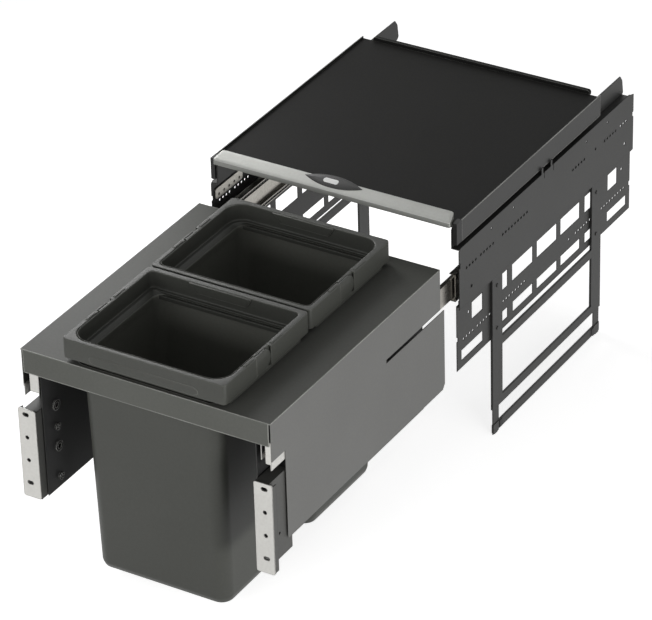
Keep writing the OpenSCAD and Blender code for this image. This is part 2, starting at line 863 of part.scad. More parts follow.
module bin(y, turned) {
  px = mouth_w / 2 + collar_t;
  zone = ear_r + bail_gap;
  color([0.14, 0.14, 0.13])
    difference() {
      union() {
        bin_body(y, 0, base_z);
        // carrying ledge that rests on the drawer's top plate
        translate([0, 0, top_z])
          linear_extrude(ledge_h)
            difference() {
              union() {
                round_rect(-rim_w / 2 + 2.5, y + 18, rim_w / 2 - 2.5, y + rim_l - 18, 3);
                mouth_outline(y, collar_t, turned);
              }
              round_rect(-body_w / 2 + 4, y + body_front + 4, body_w / 2 - 4,
                         y + rim_l - body_rear - 4, body_r - 4);
            }
        // collar round the mouth
        translate([0, 0, top_z + ledge_h - 0.01])
          linear_extrude(rim_up - ledge_h + 0.01)
            difference() {
              mouth_outline(y, collar_t, turned);
              mouth_outline(y, 0, turned);
            }
        // shoulder inside the collar
        translate([0, 0, top_z + ledge_h - 0.01])
          linear_extrude(shoulder_h)
            difference() {
              mouth_outline(y, 0.1, turned);
              mouth_outline(y, -6, turned);
            }
        // pad on the rear inner wall
        translate([0, y + rim_l - (rim_w - mouth_w) / 2 + 0.1, 0])
          rotate([90, 0, 0])
            linear_extrude(pad_t + 0.1)
              pad_outline();
        // rear part of the rim, which stays on the bin
        difference() {
          union() {
            translate([0, 0, rim_bot])
              linear_extrude(rim_top - rim_bot)
                difference() {
                  rim_outline(y, 0, rim_r);
                  rim_outline(y, skin, rim_r - skin);
                }
            translate([0, 0, rim_top - skin])
              linear_extrude(skin)
                difference() {
                  rim_outline(y, 0, rim_r);
                  mouth_outline(y, 0.8, turned);
                }
            // two ribs that carry the rear part of the rim
            for (x = [-70, 60])
              span([x, y + rim_l - 9, rim_bot], [x + 10, y + rim_l - 1, rim_top]);
          }
          span([-rim_w, y - 5, rim_bot - 5], [rim_w, y + pivot_y, rim_top + 5]);
          for (x = [-rim_w / 2 - 1, ear_in - bail_gap]) {
            rod_x(x, x + 1 + ear_t + bail_gap, zone, y + pivot_y, pivot_z);
            // room for the bail's upper edge when it stands up
            span([x, y + pivot_y - 1, pivot_z],
                 [x + 1 + ear_t + bail_gap, y + pivot_y + zone, rim_top + 5]);
          }
        }
        // blocks that carry the pins
        for (m = [0, 1])
          mirror([m, 0, 0])
            span([px - 0.5, y + pivot_y - flange_back + 2.2, rim_bot + 1],
                 [ear_in - bail_gap, y + pivot_y + zone + 0.5, rim_top]);
        // pivot pins for the bail handle
        for (m = [0, 1])
          mirror([m, 0, 0])
            rod_x(px - 0.5, rim_w / 2 - 1.8, pivot_r, y + pivot_y, pivot_z);
      }
      bin_body(y, wall, base_z + wall);
      translate([0, 0, top_z - 0.01])
        linear_extrude(ledge_h + 1)
          round_rect(-body_w / 2 + 4, y + body_front + 4, body_w / 2 - 4,
                     y + rim_l - body_rear - 4, body_r - 4);
    }
}

// bail handle folded round the front part of the rim
module bail(y, turned) {
  color([0.16, 0.16, 0.15])
    difference() {
      union() {
        difference() {
          union() {
            translate([0, 0, rim_bot])
              linear_extrude(rim_top - rim_bot)
                difference() {
                  rim_outline(y, 0, rim_r);
                  rim_outline(y, skin, rim_r - skin);
                }
            translate([0, 0, rim_top - skin])
              linear_extrude(skin)
                difference() {
                  rim_outline(y, 0, rim_r);
                  mouth_outline(y, collar_t + bail_gap, turned);
                }
          }
          span([-rim_w, y + pivot_y, rim_bot - 5], [rim_w, y + rim_l + 5, rim_top + 5]);
          // only the outer layer goes on to the pins
          span([-ear_in, y + pivot_y - flange_back, rim_bot - 5],
               [ear_in, y + rim_l + 5, rim_top + 5]);
        }
        for (x = [-rim_w / 2, ear_in])
          rod_x(x, x + ear_t, ear_r, y + pivot_y, pivot_z);
        // grip rib along the lower front
        translate([0, y + 0.5, 0])
          rotate([90, 0, 0])
            linear_extrude(1.5)
              round_rect(-rim_w / 2 + 25, rim_bot + 1.5, rim_w / 2 - 25, rim_bot + 11, 4);
      }
      rod_x(-rim_w / 2 + 1.7, rim_w / 2 - 1.7, pivot_r + pin_gap, y + pivot_y, pivot_z);
    }
}

module cover_board() {
  color([0.1, 0.1, 0.1])
    difference() {
      span([-board_hw, board_y, board_top - board_t],
           [board_hw, board_y + board_l, board_top]);
      // front corners, cut back beside the channels' caps
      for (m = [0, 1])
        mirror([m, 0, 0])
          span([cover_w / 2 - cap_w - 0.3, board_y - 1, board_top - board_t - 1],
               [board_hw + 1, channel_y, board_top + 1]);
    }
}

// outline of the trim seen from above, with rounded rear corners
module trim_plan() {
  hw = trim_w / 2;
  r = 4;
  polygon([
    [-hw, cover_y], [hw, cover_y], [hw - trim_taper, cover_y + trim_l - r],
    [-hw + trim_taper, cover_y + trim_l - r]
  ]);
  round_rect(-hw + trim_taper, cover_y + trim_l - 3 * r, hw - trim_taper, cover_y + trim_l, r);
}

// everything below the trim's sloping face, raised by d
module below_slope(d) {
  far = cover_y + trim_l + grip_l;
  side_sheet(-cover_w, cover_w)
    polygon([
      [cover_y - 5, board_top - trim_nose], [far, board_top - trim_nose],
      [far, slope_z + d + (far - cover_y) * slope_rise / trim_l],
      [cover_y - 5, slope_z + d - 5 * slope_rise / trim_l]
    ]);
}

module trim_solid() {
  intersection() {
    translate([0, 0, board_top - trim_nose])
      linear_extrude(60)
        trim_plan();
    below_slope(0);
    // rests on the board and stands in front of its edge
    union() {
      span([-cover_w, cover_y - 1, board_top - trim_nose],
           [cover_w, board_y, board_top + 60]);
      span([-cover_w, board_y - 1, board_top],
           [cover_w, cover_y + trim_l + 1, board_top + 60]);
    }
  }
}

module cover_trim() {
  color([0.66, 0.66, 0.65])
    trim_solid();
}

// lens outline, w wide and l deep, centred on the origin
module lens(w, l) {
  r = (w * w / 4 + l * l / 4) / l;
  intersection() {
    translate([0, r - l / 2])
      circle(r, $fn = 180);
    translate([0, l / 2 - r])
      circle(r, $fn = 180);
  }
}

module cover_grip() {
  color([0.14, 0.14, 0.14])
    difference() {
      intersection() {
        translate([grip_x, grip_y, board_top])
          linear_extrude(60)
            lens(grip_w, grip_l);
        below_slope(grip_up);
      }
      trim_solid();
    }
}

module cover_inlay() {
  a = atan(slope_rise / trim_l);
  color([0.95, 0.95, 0.95])
    translate([inlay_x, inlay_y,
               slope_z + grip_up + (inlay_y - cover_y) * slope_rise / trim_l])
      rotate([a, 0, 0])
        linear_extrude(0.8)
          round_rect(-12, -4, 12, 4, 3.5);
}

module cover_upstand() {
  y = board_y + board_l;
  color([0.12, 0.12, 0.12])
    translate([0, y + 6, 0])
      rotate([90, 0, 0])
        linear_extrude(6)
          round_rect(-upstand_hw, board_top - board_t, upstand_hw, board_top + 6, 4);
}

module cover_channel() {
  y1 = board_y + board_l;
  ledge_top = board_top - board_t;
  color([0.4, 0.4, 0.4]) {
    // outer web, which stands above the board as a thin edge
    span([board_hw, channel_y, channel_top - channel_h], [cover_w / 2, y1, channel_top]);
    // flange that the board lies on, and a lip inside the rail
    span([channel_in - 11, channel_y, ledge_top - channel_t],
         [board_hw + 0.01, y1, ledge_top]);
    span([channel_in, channel_y, ledge_top - channel_lip], [channel_in + sheet, y1, ledge_top]);
  }
}

module cover_glides() {
  color([0.08, 0.08, 0.08])
    for (m = [0, 1])
      mirror([m, 0, 0])
        for (y = [channel_y + 8, board_y + board_l - glide_l - 10])
          span([board_hw - glide_w, y, rail_top - 4 - glide_h],
               [board_hw, y + glide_l, rail_top - 4]);
}

module cover_caps() {
  color([0.05, 0.05, 0.05])
    for (m = [0, 1])
      mirror([m, 0, 0])
        span([cover_w / 2 - cap_w, channel_y - cap_l, channel_top - channel_h],
             [cover_w / 2, channel_y, channel_top]);
}

mirror([1, 0, 0]) side_plate();  // side_plate_left
side_plate();  // side_plate_right
mirror([1, 0, 0]) window_plate();  // window_plate_left
window_plate();  // window_plate_right
mirror([1, 0, 0]) plate_ledge();  // plate_ledge_left
plate_ledge();  // plate_ledge_right
mirror([1, 0, 0]) leg_frame();  // leg_frame_left
leg_frame();  // leg_frame_right
mirror([1, 0, 0]) cabinet_runner();  // cabinet_runner_left
cabinet_runner();  // cabinet_runner_right
mirror([1, 0, 0]) runner_foot();  // runner_foot_left
runner_foot();  // runner_foot_right
mirror([1, 0, 0]) run_in_guide();  // run_in_guide_left
run_in_guide();  // run_in_guide_right
mirror([1, 0, 0]) cover_rail();  // cover_rail_left
cover_rail();  // cover_rail_right
plate_rivets();
mirror([1, 0, 0]) foot_frame();  // foot_frame_left
foot_frame();  // foot_frame_right
mirror([1, 0, 0]) foot_plugs();  // foot_plugs_left
foot_plugs();  // foot_plugs_right
mirror([1, 0, 0]) middle_runner();  // middle_runner_left
middle_runner();  // middle_runner_right
mirror([1, 0, 0]) ball_strips();  // ball_strips_left
ball_strips();  // ball_strips_right
top_plate();
mirror([1, 0, 0]) outer_panel();  // outer_panel_left
outer_panel();  // outer_panel_right
mirror([1, 0, 0]) inner_panel();  // inner_panel_left
inner_panel();  // inner_panel_right
rear_wall();
panel_spacers();
mirror([1, 0, 0]) drawer_runner();  // drawer_runner_left
drawer_runner();  // drawer_runner_right
runner_blocks();
mirror([1, 0, 0]) runner_tab(inner_out, inner_out + left_tab_w);  // runner_tab_left
runner_tab(panel_in - right_tab_w, panel_in);  // runner_tab_right
mirror([1, 0, 0]) front_bracket();  // front_bracket_left
front_bracket();  // front_bracket_right
mirror([1, 0, 0]) bracket_face();  // bracket_face_left
bracket_face();  // bracket_face_right
mirror([1, 0, 0]) adjusters();  // adjusters_left
adjusters();  // adjusters_right
mirror([1, 0, 0]) bracket_screws();  // bracket_screws_left
bracket_screws();  // bracket_screws_right
bin(drawer_y + rim_y, false);  // bin_front
bin(drawer_y + rim_y + bin_pitch, true);  // bin_rear
bail(drawer_y + rim_y, false);  // bail_front
bail(drawer_y + rim_y + bin_pitch, true);  // bail_rear
cover_board();
cover_trim();
cover_grip();
cover_inlay();
cover_upstand();
mirror([1, 0, 0]) cover_channel();  // cover_channel_left
cover_channel();  // cover_channel_right
cover_glides();
cover_caps();
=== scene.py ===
"""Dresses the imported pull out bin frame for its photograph.

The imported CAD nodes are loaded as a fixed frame. Sheet metal nodes keep their
shape and get a procedural finish. The bins, their bail handles, the runners'
ball rows, the cover's trim and its grip are replaced by surfaces with soft
edges that are worked out here as whole numpy arrays. Sizes are written in
millimetres and turned into metres where a mesh is made.
"""

import logging
from dataclasses import dataclass, field
from enum import Enum

import bpy
import numpy as np
from mathutils import Matrix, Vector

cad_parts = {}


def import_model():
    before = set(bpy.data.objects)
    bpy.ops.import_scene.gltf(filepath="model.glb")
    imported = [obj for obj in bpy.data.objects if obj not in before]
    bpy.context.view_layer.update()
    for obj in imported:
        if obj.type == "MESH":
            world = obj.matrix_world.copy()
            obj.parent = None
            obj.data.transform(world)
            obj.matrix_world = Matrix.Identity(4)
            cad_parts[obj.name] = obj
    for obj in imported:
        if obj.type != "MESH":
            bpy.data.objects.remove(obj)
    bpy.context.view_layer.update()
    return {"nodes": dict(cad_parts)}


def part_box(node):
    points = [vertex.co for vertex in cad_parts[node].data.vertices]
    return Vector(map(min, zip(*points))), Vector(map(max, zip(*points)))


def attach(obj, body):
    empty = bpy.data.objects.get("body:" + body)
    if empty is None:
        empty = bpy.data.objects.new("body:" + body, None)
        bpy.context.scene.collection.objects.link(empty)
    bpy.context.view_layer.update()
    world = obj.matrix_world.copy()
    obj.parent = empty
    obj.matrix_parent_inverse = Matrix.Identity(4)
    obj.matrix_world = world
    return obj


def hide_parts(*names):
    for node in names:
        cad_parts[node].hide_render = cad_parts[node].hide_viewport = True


# One millimetre in metres.
MM = 0.001
LOG = logging.getLogger("bin_frame")


def linear(hex_colour: str) -> tuple[float, float, float, float]:
    """Turns a hex sRGB colour into the linear values that the shaders use.

    Args:
        hex_colour: six hex digits, such as "4c4d48".

    Returns:
        Red, green and blue from 0 to 1, and an alpha of 1.
    """
    srgb = np.array([int(hex_colour[i : i + 2], 16) for i in (0, 2, 4)]) / 255
    low = srgb / 12.92
    high = ((srgb + 0.055) / 1.055) ** 2.4
    value = np.where(srgb <= 0.04045, low, high)
    return (float(value[0]), float(value[1]), float(value[2]), 1.0)


class Grain(Enum):
    """The surface patterns that a finish can have."""

    POWDER = "powder"
    BRUSHED = "brushed"
    MOULDED = "moulded"
    LAMINATE = "laminate"
    SATIN = "satin"


@dataclass(frozen=True)
class Finish:
    """One real finish of the unit, and how it is shaded.

    Attributes:
        name: the material's name.
        colour: the finish's own colour, as hex sRGB.
        shade: the colour of its slightly darker patches.
        roughness: mean roughness.
        grain: the pattern of its surface.
        grain_mm: size of one grain, in millimetres. The real ones, of 0.05 to
            0.2 mm, are too fine to show here, so they are drawn coarser.
        bump: height of the grain, from 0 to 1.
        metallic: 1 for bare metal and 0 for paint and plastic.
        specular: specular level, 0.5 for an index of refraction of 1.5.
        edge_mm: width of the band along a hard edge that takes the painted edge tone.
        painted_edge_strength: how strongly the edges take their painted tone, from 0 to 1.
        edge: the painted tone of the edges, as hex sRGB: a light tone is a painted
            highlight along them and a dark one a painted shade line.
    """

    name: str
    colour: str
    shade: str
    roughness: float
    grain: Grain
    grain_mm: float
    bump: float
    metallic: float = 0.0
    specular: float = 0.5
    # the last three fields paint light and shade along hard edges: a light tone is a painted
    # highlight, a dark one a painted shade line
    edge_mm: float = 0.35
    painted_edge_strength: float = 0.0
    edge: str = "8a8a86"


# Tone of the painted shade line along a sheet's hard edges, as hex sRGB.
PAINTED_EDGE_SHADE = "141413"

# What each surface is, and what that gives the eye. Colours were matched to the photograph.
FINISHES = {
    # powder coated steel: dark and even, with a fine peel and a painted shade line along its edges
    "frame": Finish(
        "dark powder coat", "353534", "2e2e2d", 0.44, Grain.POWDER, 0.9, 0.16,
        metallic=0.4, specular=0.25, edge_mm=2.2, painted_edge_strength=1.0, edge=PAINTED_EDGE_SHADE,
    ),
    # metallic paint on steel sheet: mid grey that brightens towards the light, with a faint
    # painted highlight along its edges
    "panel": Finish(
        "metallic grey paint", "656563", "5f5f5d", 0.36, Grain.POWDER, 0.7, 0.10,
        metallic=0.85, specular=0.4, edge_mm=1.2, painted_edge_strength=0.3,
    ),
    # plain paint, so that the bracket's flange throws no white reflection, with a painted shade
    # line along its edges
    "bracket": Finish(
        "bracket paint", "4c4c4a", "454543", 0.45, Grain.POWDER, 0.8, 0.12,
        metallic=0.1, specular=0.2, edge_mm=1.6, painted_edge_strength=0.8, edge=PAINTED_EDGE_SHADE,
    ),
    # textured paint on folded sheet: matt and speckled, with a painted highlight along each fold
    # and edge
    "top": Finish(
        "grey paint on the top plate", "61625e", "5a5b57", 0.36, Grain.POWDER, 0.8, 0.24,
        specular=0.06, edge_mm=2.4, painted_edge_strength=1.0, edge="a4a5a0",
    ),
    # matt black coat: almost no reflection, with a faint painted highlight along its edges
    "inner": Finish(
        "matt black coat", "2c2c2c", "252525", 0.5, Grain.POWDER, 0.8, 0.12,
        specular=0.2, edge_mm=0.5, painted_edge_strength=0.3,
    ),
    # smoother powder coat: dark, with a sheen and a painted highlight along its edges
    "channel": Finish(
        "channel powder coat", "2c2c2b", "272726", 0.40, Grain.POWDER, 0.8, 0.12,
        metallic=0.5, specular=0.3, edge_mm=1.6, painted_edge_strength=1.0,
    ),
    # moulded nylon: nearly black and matt
    "plug": Finish(
        "black nylon", "161616", "101010", 0.5, Grain.MOULDED, 1.2, 0.10, specular=0.3
    ),
    # zinc plated steel: bare metal, drawn along its length
    "zinc": Finish(
        "zinc plating", "b0ada6", "98958e", 0.30, Grain.BRUSHED, 0.5, 0.06, metallic=1.0
    ),
    # pale plating with a matt film: light and even, with a painted shade line along its edges
    "bright": Finish(
        "pale zinc plating", "c2c1bd", "b7b6b2", 0.42, Grain.BRUSHED, 0.5, 0.05,
        metallic=0.7, edge_mm=1.2, painted_edge_strength=0.9, edge=PAINTED_EDGE_SHADE,
    ),
    # plain steel of the balls: bare metal with small highlights
    "steel": Finish(
        "plain steel", "8c8c8a", "777775", 0.3, Grain.BRUSHED, 0.4, 0.05, metallic=1.0
    ),
    # blackened steel: black faces with a painted highlight on their rims
    "dark_metal": Finish(
        "blackened steel", "262625", "1d1d1c", 0.25, Grain.BRUSHED, 0.4, 0.05,
        metallic=0.2, specular=0.6, edge_mm=1.6, painted_edge_strength=0.9, edge="b4b4b0",
    ),
    # painted light: the same plastic as outside, painted lighter because little light reaches it
    "bin_inside_painted_lighter": Finish(
        "inside of the bins", "72736d", "6a6b65", 0.5, Grain.MOULDED, 0.9, 0.14, specular=0.2
    ),
    # moulded polypropylene: soft olive grey, with a faint painted highlight along its edges
    "bin": Finish(
        "olive grey plastic", "434440", "3d3e3a", 0.46, Grain.MOULDED, 0.9, 0.14,
        specular=0.25, edge_mm=2.0, painted_edge_strength=0.4, edge="80817b",
    ),
    # pressed laminate: black and dull, with fine specks and a painted highlight along its edges
    "board": Finish(
        "matt black laminate", "20201f", "1c1c1b", 0.55, Grain.LAMINATE, 1.6, 0.12,
        specular=0.05, edge_mm=1.6, painted_edge_strength=0.6,
    ),
    # anodised aluminium, brushed along its length: pale and satin
    "trim": Finish(
        "satin anodised aluminium", "a8a9a5", "9fa09c", 0.48, Grain.SATIN, 0.35, 0.04,
        metallic=0.35,
    ),
    # painted shade: the trim's narrow front edge, the same aluminium painted darker
    "trim_painted_shade": Finish(
        "lower edge of the trim", "7c7d79", "747571", 0.45, Grain.SATIN, 0.35, 0.04,
        metallic=0.35,
    ),
    # moulded and polished a little: near black with a satin shine
    "grip": Finish(
        "dark satin plastic", "2b2b2a", "242423", 0.36, Grain.MOULDED, 1.0, 0.06, specular=0.35
    ),
    # glossy white plastic
    "inlay": Finish("white plastic", "fcfcfa", "f8f8f6", 0.2, Grain.MOULDED, 1.0, 0.03),
}

# How far a grain is drawn out along each axis, for the finishes that have a direction.
STRETCHES = {Grain.BRUSHED: (1.0, 0.04, 1.0), Grain.SATIN: (0.03, 1.0, 1.0)}
# Scales of the broad patches and of the specks, per metre: about 11 cm and 4 mm.
PATCH_SCALE = 9.0
SPECK_SCALE = 260.0
# The range of a noise's values that is spread over a whole pattern.
NOISE_RANGE = {"From Min": 0.3, "From Max": 0.7}
# How far the roughness swings, and the grain's depth as a share of its size.
SHEEN_SWING = 0.05
GRAIN_DEPTH = 0.12
# Radius of the shaded edge on every piece, in millimetres.
SOFT_EDGE = 0.35
# The cosines between which the painted edge tone sets in.
EDGE_COSINES = {"From Min": 0.998, "From Max": 0.93}
# Makes up for the noise that breaks the painted edge lines up, whose mean is about a half.
EDGE_GAIN = 1.8


def add_node(
    tree: bpy.types.NodeTree, kind: str, inputs: dict | None = None, **options: object
) -> bpy.types.Node:
    """Adds a node, sets its options, and sets or links its inputs.

    Args:
        tree: the node tree.
        kind: the node's type, without its first word ShaderNode.
        inputs: for each input, the socket that it is linked to, or its value.
        options: the node's other settings.

    Returns:
        The new node.
    """
    node = tree.nodes.new(f"ShaderNode{kind}")
    for option, value in options.items():
        setattr(node, option, value)
    for name, value in (inputs or {}).items():
        if isinstance(value, bpy.types.NodeSocket):
            tree.links.new(value, node.inputs[name])
        else:
            node.inputs[name].default_value = value
    return node


def empty_tree(owner: bpy.types.Material | bpy.types.World) -> bpy.types.NodeTree:
    """Gives a material or world a node tree without nodes.

    Args:
        owner: the material or the world.

    Returns:
        The node tree.
    """
    owner.use_nodes = True
    owner.node_tree.nodes.clear()
    return owner.node_tree


class MaterialBook:
    """Makes each finish's material once and hands it out by key."""

    def __init__(self) -> None:
        """Starts with no material made."""
        self._made: dict[str, bpy.types.Material] = {}

    def get(self, key: str) -> bpy.types.Material:
        """Gives the material of a finish.

        Args:
            key: a key of FINISHES.

        Returns:
            The material, made on its first use.
        """
        if key not in self._made:
            self._made[key] = self._build(FINISHES[key])
        return self._made[key]

    @staticmethod
    def _build(finish: Finish) -> bpy.types.Material:
        """Builds a finish from noise on object coordinates.

        Args:
            finish: the finish to build.

        Returns:
            The new material.
        """
        material = bpy.data.materials.new(finish.name)
        tree = empty_tree(material)
        place = add_node(tree, "TexCoord").outputs["Object"]
        stretch = STRETCHES.get(finish.grain, (1.0, 1.0, 1.0))
        drawn = add_node(tree, "Mapping", {"Vector": place, "Scale": stretch}).outputs["Vector"]
        noises = []
        # the fine grain, the broad patches and the specks
        for where, scale, detail, rough in (
            (drawn, 1 / (finish.grain_mm * MM), 3.0, 0.6),
            (place, PATCH_SCALE, 4.0, 0.55),
            (place, SPECK_SCALE, 2.0, 0.5),
        ):
            inputs = {"Vector": where, "Scale": scale, "Detail": detail, "Roughness": rough}
            noises.append(add_node(tree, "TexNoise", inputs).outputs["Fac"])
        fine, patches, specks = noises
        both = add_node(
            tree, "Mix", {"Factor": 0.5, "A": patches, "B": specks}, data_type="FLOAT"
        ).outputs["Result"]
        spread = add_node(tree, "MapRange", {"Value": both, **NOISE_RANGE}).outputs["Result"]
        mixed = {"Factor": spread, "A": linear(finish.colour), "B": linear(finish.shade)}
        colour = add_node(tree, "Mix", mixed, data_type="RGBA").outputs["Result"]
        # paints the edge tone along hard edges: a highlight where it is light, a shade line where
        # it is dark
        if finish.painted_edge_strength > 0:
            colour = MaterialBook._paint_edge_light_and_shade(tree, finish, patches, colour)
        low, high = finish.roughness - SHEEN_SWING, finish.roughness + SHEEN_SWING
        sheen = add_node(
            tree, "MapRange", {"Value": fine, **NOISE_RANGE, "To Min": low, "To Max": high}
        )
        soft = add_node(tree, "Bevel", {"Radius": SOFT_EDGE * MM}, samples=4)
        grain = add_node(
            tree,
            "Bump",
            {
                "Strength": finish.bump,
                "Distance": GRAIN_DEPTH * finish.grain_mm * MM,
                "Height": fine,
                "Normal": soft.outputs["Normal"],
            },
        )
        shader = add_node(
            tree,
            "BsdfPrincipled",
            {
                "Base Color": colour,
                "Metallic": finish.metallic,
                "Roughness": sheen.outputs["Result"],
                "Specular IOR Level": finish.specular,
                "IOR": 1.5,
                "Normal": grain.outputs["Normal"],
            },
        )
        add_node(tree, "OutputMaterial", {"Surface": shader.outputs["BSDF"]})
        return material

    @staticmethod
    def _paint_edge_light_and_shade(
        tree: bpy.types.NodeTree,
        finish: Finish,
        patches: bpy.types.NodeSocket,
        colour: bpy.types.NodeSocket,
    ) -> bpy.types.NodeSocket:
        """Paints light and shade along hard edges in the finish's edge tone.

        A light tone is a painted highlight and a dark one a painted shade line.
        The cosine between the softened and the true normal falls below one
        only at an edge, and noise breaks the painted line up.

        Args:
            tree: the material's node tree.
            finish: the finish.
            patches: the broad noise.
            colour: the socket that gives the colour before the edges are painted.

        Returns:
            The socket with the painted edge light and shade.
        """
        surface = add_node(tree, "NewGeometry").outputs["Normal"]
        soft = add_node(tree, "Bevel", {"Radius": finish.edge_mm * MM}, samples=6)
        cosine = add_node(
            tree, "VectorMath", {0: surface, 1: soft.outputs["Normal"]}, operation="DOT_PRODUCT"
        ).outputs["Value"]
        most = EDGE_GAIN * finish.painted_edge_strength
        # the mask of the painted edge tone
        edge = add_node(tree, "MapRange", {"Value": cosine, **EDGE_COSINES, "To Max": most})
        painted_edge_mask = add_node(
            tree,
            "Math",
            {0: edge.outputs["Result"], 1: patches},
            operation="MULTIPLY",
            use_clamp=True,
        ).outputs["Value"]
        # mixes in the painted edge highlight or shade line of this finish
        edge_paint_mix = {"Factor": painted_edge_mask, "A": colour, "B": linear(finish.edge)}
        return add_node(tree, "Mix", edge_paint_mix, data_type="RGBA").outputs["Result"]


class MeshMaker:
    """Turns grids of points into closed meshes at the origin."""

    @staticmethod
    def from_grid(
        name: str, grid: np.ndarray, sharp: float, wrap_rows: bool = False
    ) -> bpy.types.Object:
        """Makes an object from rings of points, joined ring to ring.

        The first and last rings are closed by one face each unless the rings
        wrap round.

        Args:
            name: the object's name.
            grid: points in millimetres, of shape (rings, points, 3).
            sharp: the smallest angle of an edge that stays sharp, in degrees.
            wrap_rows: join the last ring to the first one.

        Returns:
            The new object, linked to the scene.
        """
        rings, points = grid.shape[:2]
        faces = MeshMaker.quads(rings, points, wrap_rows).tolist()
        if not wrap_rows:
            faces.append(list(range(points))[::-1])
            faces.append(list(range((rings - 1) * points, rings * points)))
        return MeshMaker.build(name, grid.reshape(-1, 3), faces, sharp)

    @staticmethod
    def quads(rings: int, points: int, wrap_rows: bool = False) -> np.ndarray:
        """Joins rings of points, each of which closes on itself.

        Face (i, j) has the four points (i, j), (i, j+1), (i+1, j+1) and
        (i+1, j).

        Args:
            rings: the number of rings.
            points: the number of points on each.
            wrap_rows: join the last ring to the first one.

        Returns:
            The corner numbers of each face.
        """
        index = np.arange(rings * points).reshape(rings, points)
        above = np.roll(index, -1, axis=0) if wrap_rows else index[1:]
        here = index if wrap_rows else index[:-1]
        corners = [here, np.roll(here, -1, axis=1), np.roll(above, -1, axis=1), above]
        return np.stack(corners, axis=-1).reshape(-1, 4)

    @staticmethod
    def build(
        name: str, points: np.ndarray, faces: list[list[int]], sharp: float
    ) -> bpy.types.Object:
        """Makes an object from points in millimetres and lists of corners.

        Args:
            name: the object's name.
            points: points of shape (count, 3).
            faces: corner numbers of each face.
            sharp: the smallest angle of an edge that stays sharp, in degrees.

        Returns:
            The new object, with faces that point outwards.
        """
        mesh = bpy.data.meshes.new(name)
        mesh.from_pydata((points * MM).tolist(), [], faces)
        mesh.update()
        MeshMaker._face_outwards(mesh)
        obj = bpy.data.objects.new(name, mesh)
        bpy.context.scene.collection.objects.link(obj)
        mesh.shade_smooth()
        mesh.set_sharp_from_angle(angle=np.radians(sharp))
        return obj

    @staticmethod
    def _face_outwards(mesh: bpy.types.Mesh) -> None:
        """Turns a closed mesh so that its enclosed volume is positive.

        The volume is a sixth of the sum, over all triangles, of the triple
        product of their corners.

        Args:
            mesh: the closed mesh.
        """
        mesh.calc_loop_triangles()
        corners = np.empty(len(mesh.loop_triangles) * 3, np.int32)
        mesh.loop_triangles.foreach_get("vertices", corners)
        points = np.empty(len(mesh.vertices) * 3, np.float32)
        mesh.vertices.foreach_get("co", points)
        a, b, c = np.moveaxis(points.reshape(-1, 3)[corners.reshape(-1, 3)], 1, 0)
        if np.einsum("ij,ij->i", a, np.cross(b, c)).sum() < 0:
            mesh.flip_normals()


# The largest share of a side that the curve at one of its ends takes.
SIDE_SHARE = 0.45
# Keeps a length of zero from being divided by, in millimetres.
TINY = 1e-9


def soften(points: np.ndarray, radius: float, steps: int = 4, closed: bool = False) -> np.ndarray:
    """Rounds the corners of a polyline of any number of columns.

    Each corner is replaced by a quadratic curve between the points that lie
    a radius before and after it, or nearer where a side is short.

    Args:
        points: corner points, one row each.
        radius: distance from a corner at which its curve begins.
        steps: points on each curve.
        closed: the last point joins the first one.

    Returns:
        The points of the rounded line.
    """
    before = np.roll(points, 1, axis=0)
    after = np.roll(points, -1, axis=0)
    back = before - points
    ahead = after - points
    back_len = np.maximum(np.linalg.norm(back, axis=1, keepdims=True), TINY)
    ahead_len = np.maximum(np.linalg.norm(ahead, axis=1, keepdims=True), TINY)
    start = points + back / back_len * np.minimum(radius, SIDE_SHARE * back_len)
    end = points + ahead / ahead_len * np.minimum(radius, SIDE_SHARE * ahead_len)
    t = np.linspace(0, 1, steps)[None, :, None]
    curve = (1 - t) ** 2 * start[:, None] + 2 * t * (1 - t) * points[:, None] + t**2 * end[:, None]
    if closed:
        return curve.reshape(-1, points.shape[1])
    middle = curve[1:-1].reshape(-1, points.shape[1])
    return np.concatenate([points[:1], middle, points[-1:]])


def rounded_rings(stations: np.ndarray, steps: int = 10) -> np.ndarray:
    """Lays a rectangle with round corners at each station.

    A corner's points are its centre plus the radius times the cosine and
    sine of a quarter turn.

    Args:
        stations: rows of half width, front, rear, front corner radius, height
            and, in a sixth column, the rear corner radius where it differs.
        steps: points on each corner.

    Returns:
        Points of shape (stations, 4 * steps, 3), anticlockwise from above.
    """
    half, front, rear, near, height = (stations[:, i, None] for i in range(5))
    far = stations[:, -1, None] if stations.shape[1] > 5 else near
    turn = (np.arange(4)[:, None] * 90 + np.linspace(0, 90, steps)[None]).ravel()
    right = np.repeat([1, -1, -1, 1], steps)
    back = np.repeat([1, 1, -1, -1], steps)
    middle, reach = (front + rear) / 2, (rear - front) / 2
    radius = np.where(back > 0, far, near)
    x = right * (half - radius) + radius * np.cos(np.radians(turn))
    y = middle + back * (reach - radius) + radius * np.sin(np.radians(turn))
    z = np.broadcast_to(height, x.shape)
    return np.stack([x, y, z], axis=-1)


